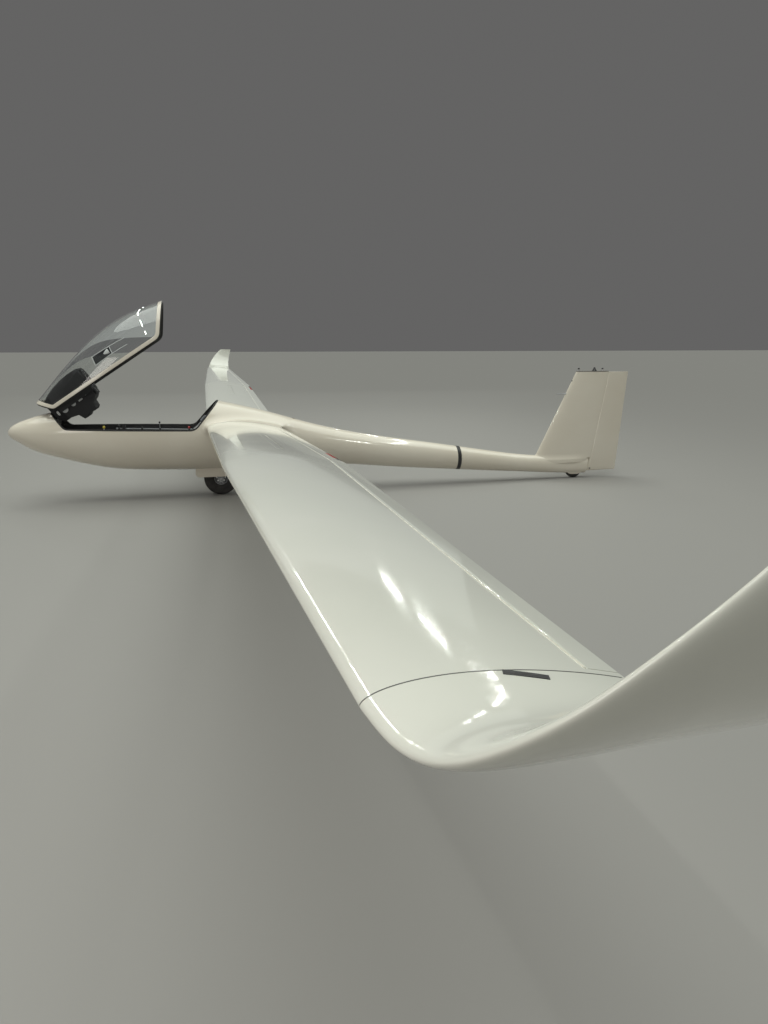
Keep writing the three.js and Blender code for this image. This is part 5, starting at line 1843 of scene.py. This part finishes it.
KNOB_COLOURS = {
    "yellow": coloured("knob_yellow", (0.62, 0.50, 0.06), (0.52, 0.42, 0.05)),
    "black": black_plastic,
    "blue": coloured("knob_blue", (0.03, 0.10, 0.42), (0.03, 0.08, 0.34)),
    "red": coloured("knob_red", (0.48, 0.03, 0.03), (0.38, 0.03, 0.03)),
}
RAILS = {  # both ends of the rail, and its knobs: name, colour, centre, radius
    "left": ([(900, 258, 668), (1360, 278, 628)], [
        ("release_knob", "yellow", (922, 226, 764), 13),
        ("airbrake_handle", "blue", (1150, 222, 640), 14),
        ("trim_lever", "black", (1260, 235, 600), 10),
    ]),
    "right": ([(990, -268, 695), (1745, -274, 665)], [
        ("vent_knob", "black", (1015, -246, 723), 12),
        ("flap_lever", "black", (1244, -250, 697), 12),
        ("wheel_lever", "black", (1426, -238, 752), 10),
        ("jettison_knob", "red", (1725, -238, 690), 13),
    ]),
}
KNOB = [  # radius and distance along the rod, as shares of the knob's radius
    (0, -1.5), (0.4, -1.45), (0.42, -1.1), (0.62, -0.95), (0.92, -0.6), (1, -0.1), (0.96, 0.35),
    (0.8, 0.7), (0.5, 0.92), (0, 1),
]


def knob(name, colour, centre, rod_foot, radius):
    """A turned knob on a steel rod, which is clamped to the rail by a small black block."""
    way = np.subtract(centre, rod_foot) / np.linalg.norm(np.subtract(centre, rod_foot))
    outline = [(r * radius, d * radius) for r, d in KNOB]
    lathed(name, outline, centre, tuple(way), 32, KNOB_COLOURS[colour], smooth=50)
    bead(f"{name}_rod", [rod_foot, centre], 3.8, steel, "airframe")
    s, y, z = rod_foot
    clamp = soften(block(f"{name}_clamp", s - 9, s + 9, y - 8, y + 8, z - 9, z + 9), 2)
    finish(clamp, black_plastic, "airframe")


for label, (ends, knobs) in RAILS.items():
    front, rear = np.array(ends, float)
    bead(f"control_rail_{label}", ends, 6, grey_metal, "airframe",
         replaces=[f"side_controls_{label}"])
    for number, (s, y, z) in enumerate(ends):
        wall = math.copysign(float(body_side(s, z, SHELL_WALL + 0.5)), y)
        span = min(y, wall), max(y, wall)
        bracket = block(f"rail_bracket_{label}_{number}", s - 9, s + 9, *span, z - 9, z + 9)
        finish(soften(bracket, 2), grey_metal, "airframe")
    for name, colour, centre, radius in knobs:
        share = (centre[0] - front[0]) / (rear[0] - front[0])
        knob(name, colour, centre, tuple(front + (rear - front) * share), radius)


GRIP_FOOT, GRIP_TOP = np.array([1080.0, 660.0]), np.array([1092.0, 770.0])


def stick_grip():
    """The stick's hand grip: a turned core with finger hollows in front, leaning a little aft."""
    rings = []
    for share in np.linspace(0, 1, 40):
        s, z = GRIP_FOOT + (GRIP_TOP - GRIP_FOOT) * share
        body = 14.5 + 2.5 * math.sin(math.pi * share) + (2.5 if share > 0.93 else 0)
        if share in (0.0, 1.0):
            body *= 0.6
        ring = []
        for turn in np.linspace(0, 2 * math.pi, 40, endpoint=False):
            front = max(-math.cos(turn), 0)
            fingers = 2.2 * front * math.cos(2 * math.pi * 4 * share) * (0.1 < share < 0.85)
            r = body + fingers
            ring.append((s + r * math.cos(turn), r * 0.88 * math.sin(turn), z))
        rings.append(ring)
    return loft("stick_grip", rings)


gaiter = [
    (0, -34), (34, -34), (36, -30), (29, -24), (33, -19), (25, -12), (29, -7), (20, 0), (24, 6), (14, 14),
    (12, 20), (10, 20), (0, 20),
]
gaiter_place, gaiter_lean = (1075, 0, 516), (0.05, 0, 1)
lathed("stick_gaiter", gaiter, gaiter_place, gaiter_lean, 40, rubber, ["control_stick"], 60)
bead("stick_tube", [(1078, 0, 515), (1079, 0, 600), (1080, 0, 664)], 9, grey_metal, "airframe")
finish(stick_grip(), black_plastic, "airframe", smooth=60)

PEDAL = {"offset": 68, "foot": (466, 497), "top": (442, 583), "half": 31, "ribs": 5}


def on_pedal(share):
    """The station and height of a foot plate's face, which bows aft between its foot and its top."""
    s, z = [a + (b - a) * share for a, b in zip(PEDAL["foot"], PEDAL["top"])]
    return s + 3 * math.sin(math.pi * share), z


def pedal(side, label):
    """A foot plate on two bent legs, with a row of grip ribs."""
    y = PEDAL["offset"] * side
    rings = []
    for share in np.linspace(0, 1, 12):
        s, z = on_pedal(share)
        half = PEDAL["half"] - 3 * abs(2 * share - 1) ** 6
        rings.append([(s, y - half, z), (s, y + half, z), (s - 4, y + half, z), (s - 4, y - half, z)])
    plate = soften(loft(f"pedal_plate_{label}", rings), 1, 2)
    finish(plate, steel, "airframe", [f"rudder_pedal_{label}"])
    for k in range(PEDAL["ribs"]):
        s, z = on_pedal(0.2 + 0.15 * k)
        rib = [(s + 0.4, y - 26, z), (s + 0.4, y + 26, z)]
        bead(f"pedal_rib_{label}_{k}", rib, 1.6, rubber, "airframe")
    for leg in (-22, 22):
        path = [(470, y + leg, 490.4), (462, y + leg, 505), (452, y + leg, 545)]
        bead(f"pedal_leg_{label}_{leg}", path, 4, steel, "airframe")


for side, label in ((1, "left"), (-1, "right")):
    pedal(side, label)
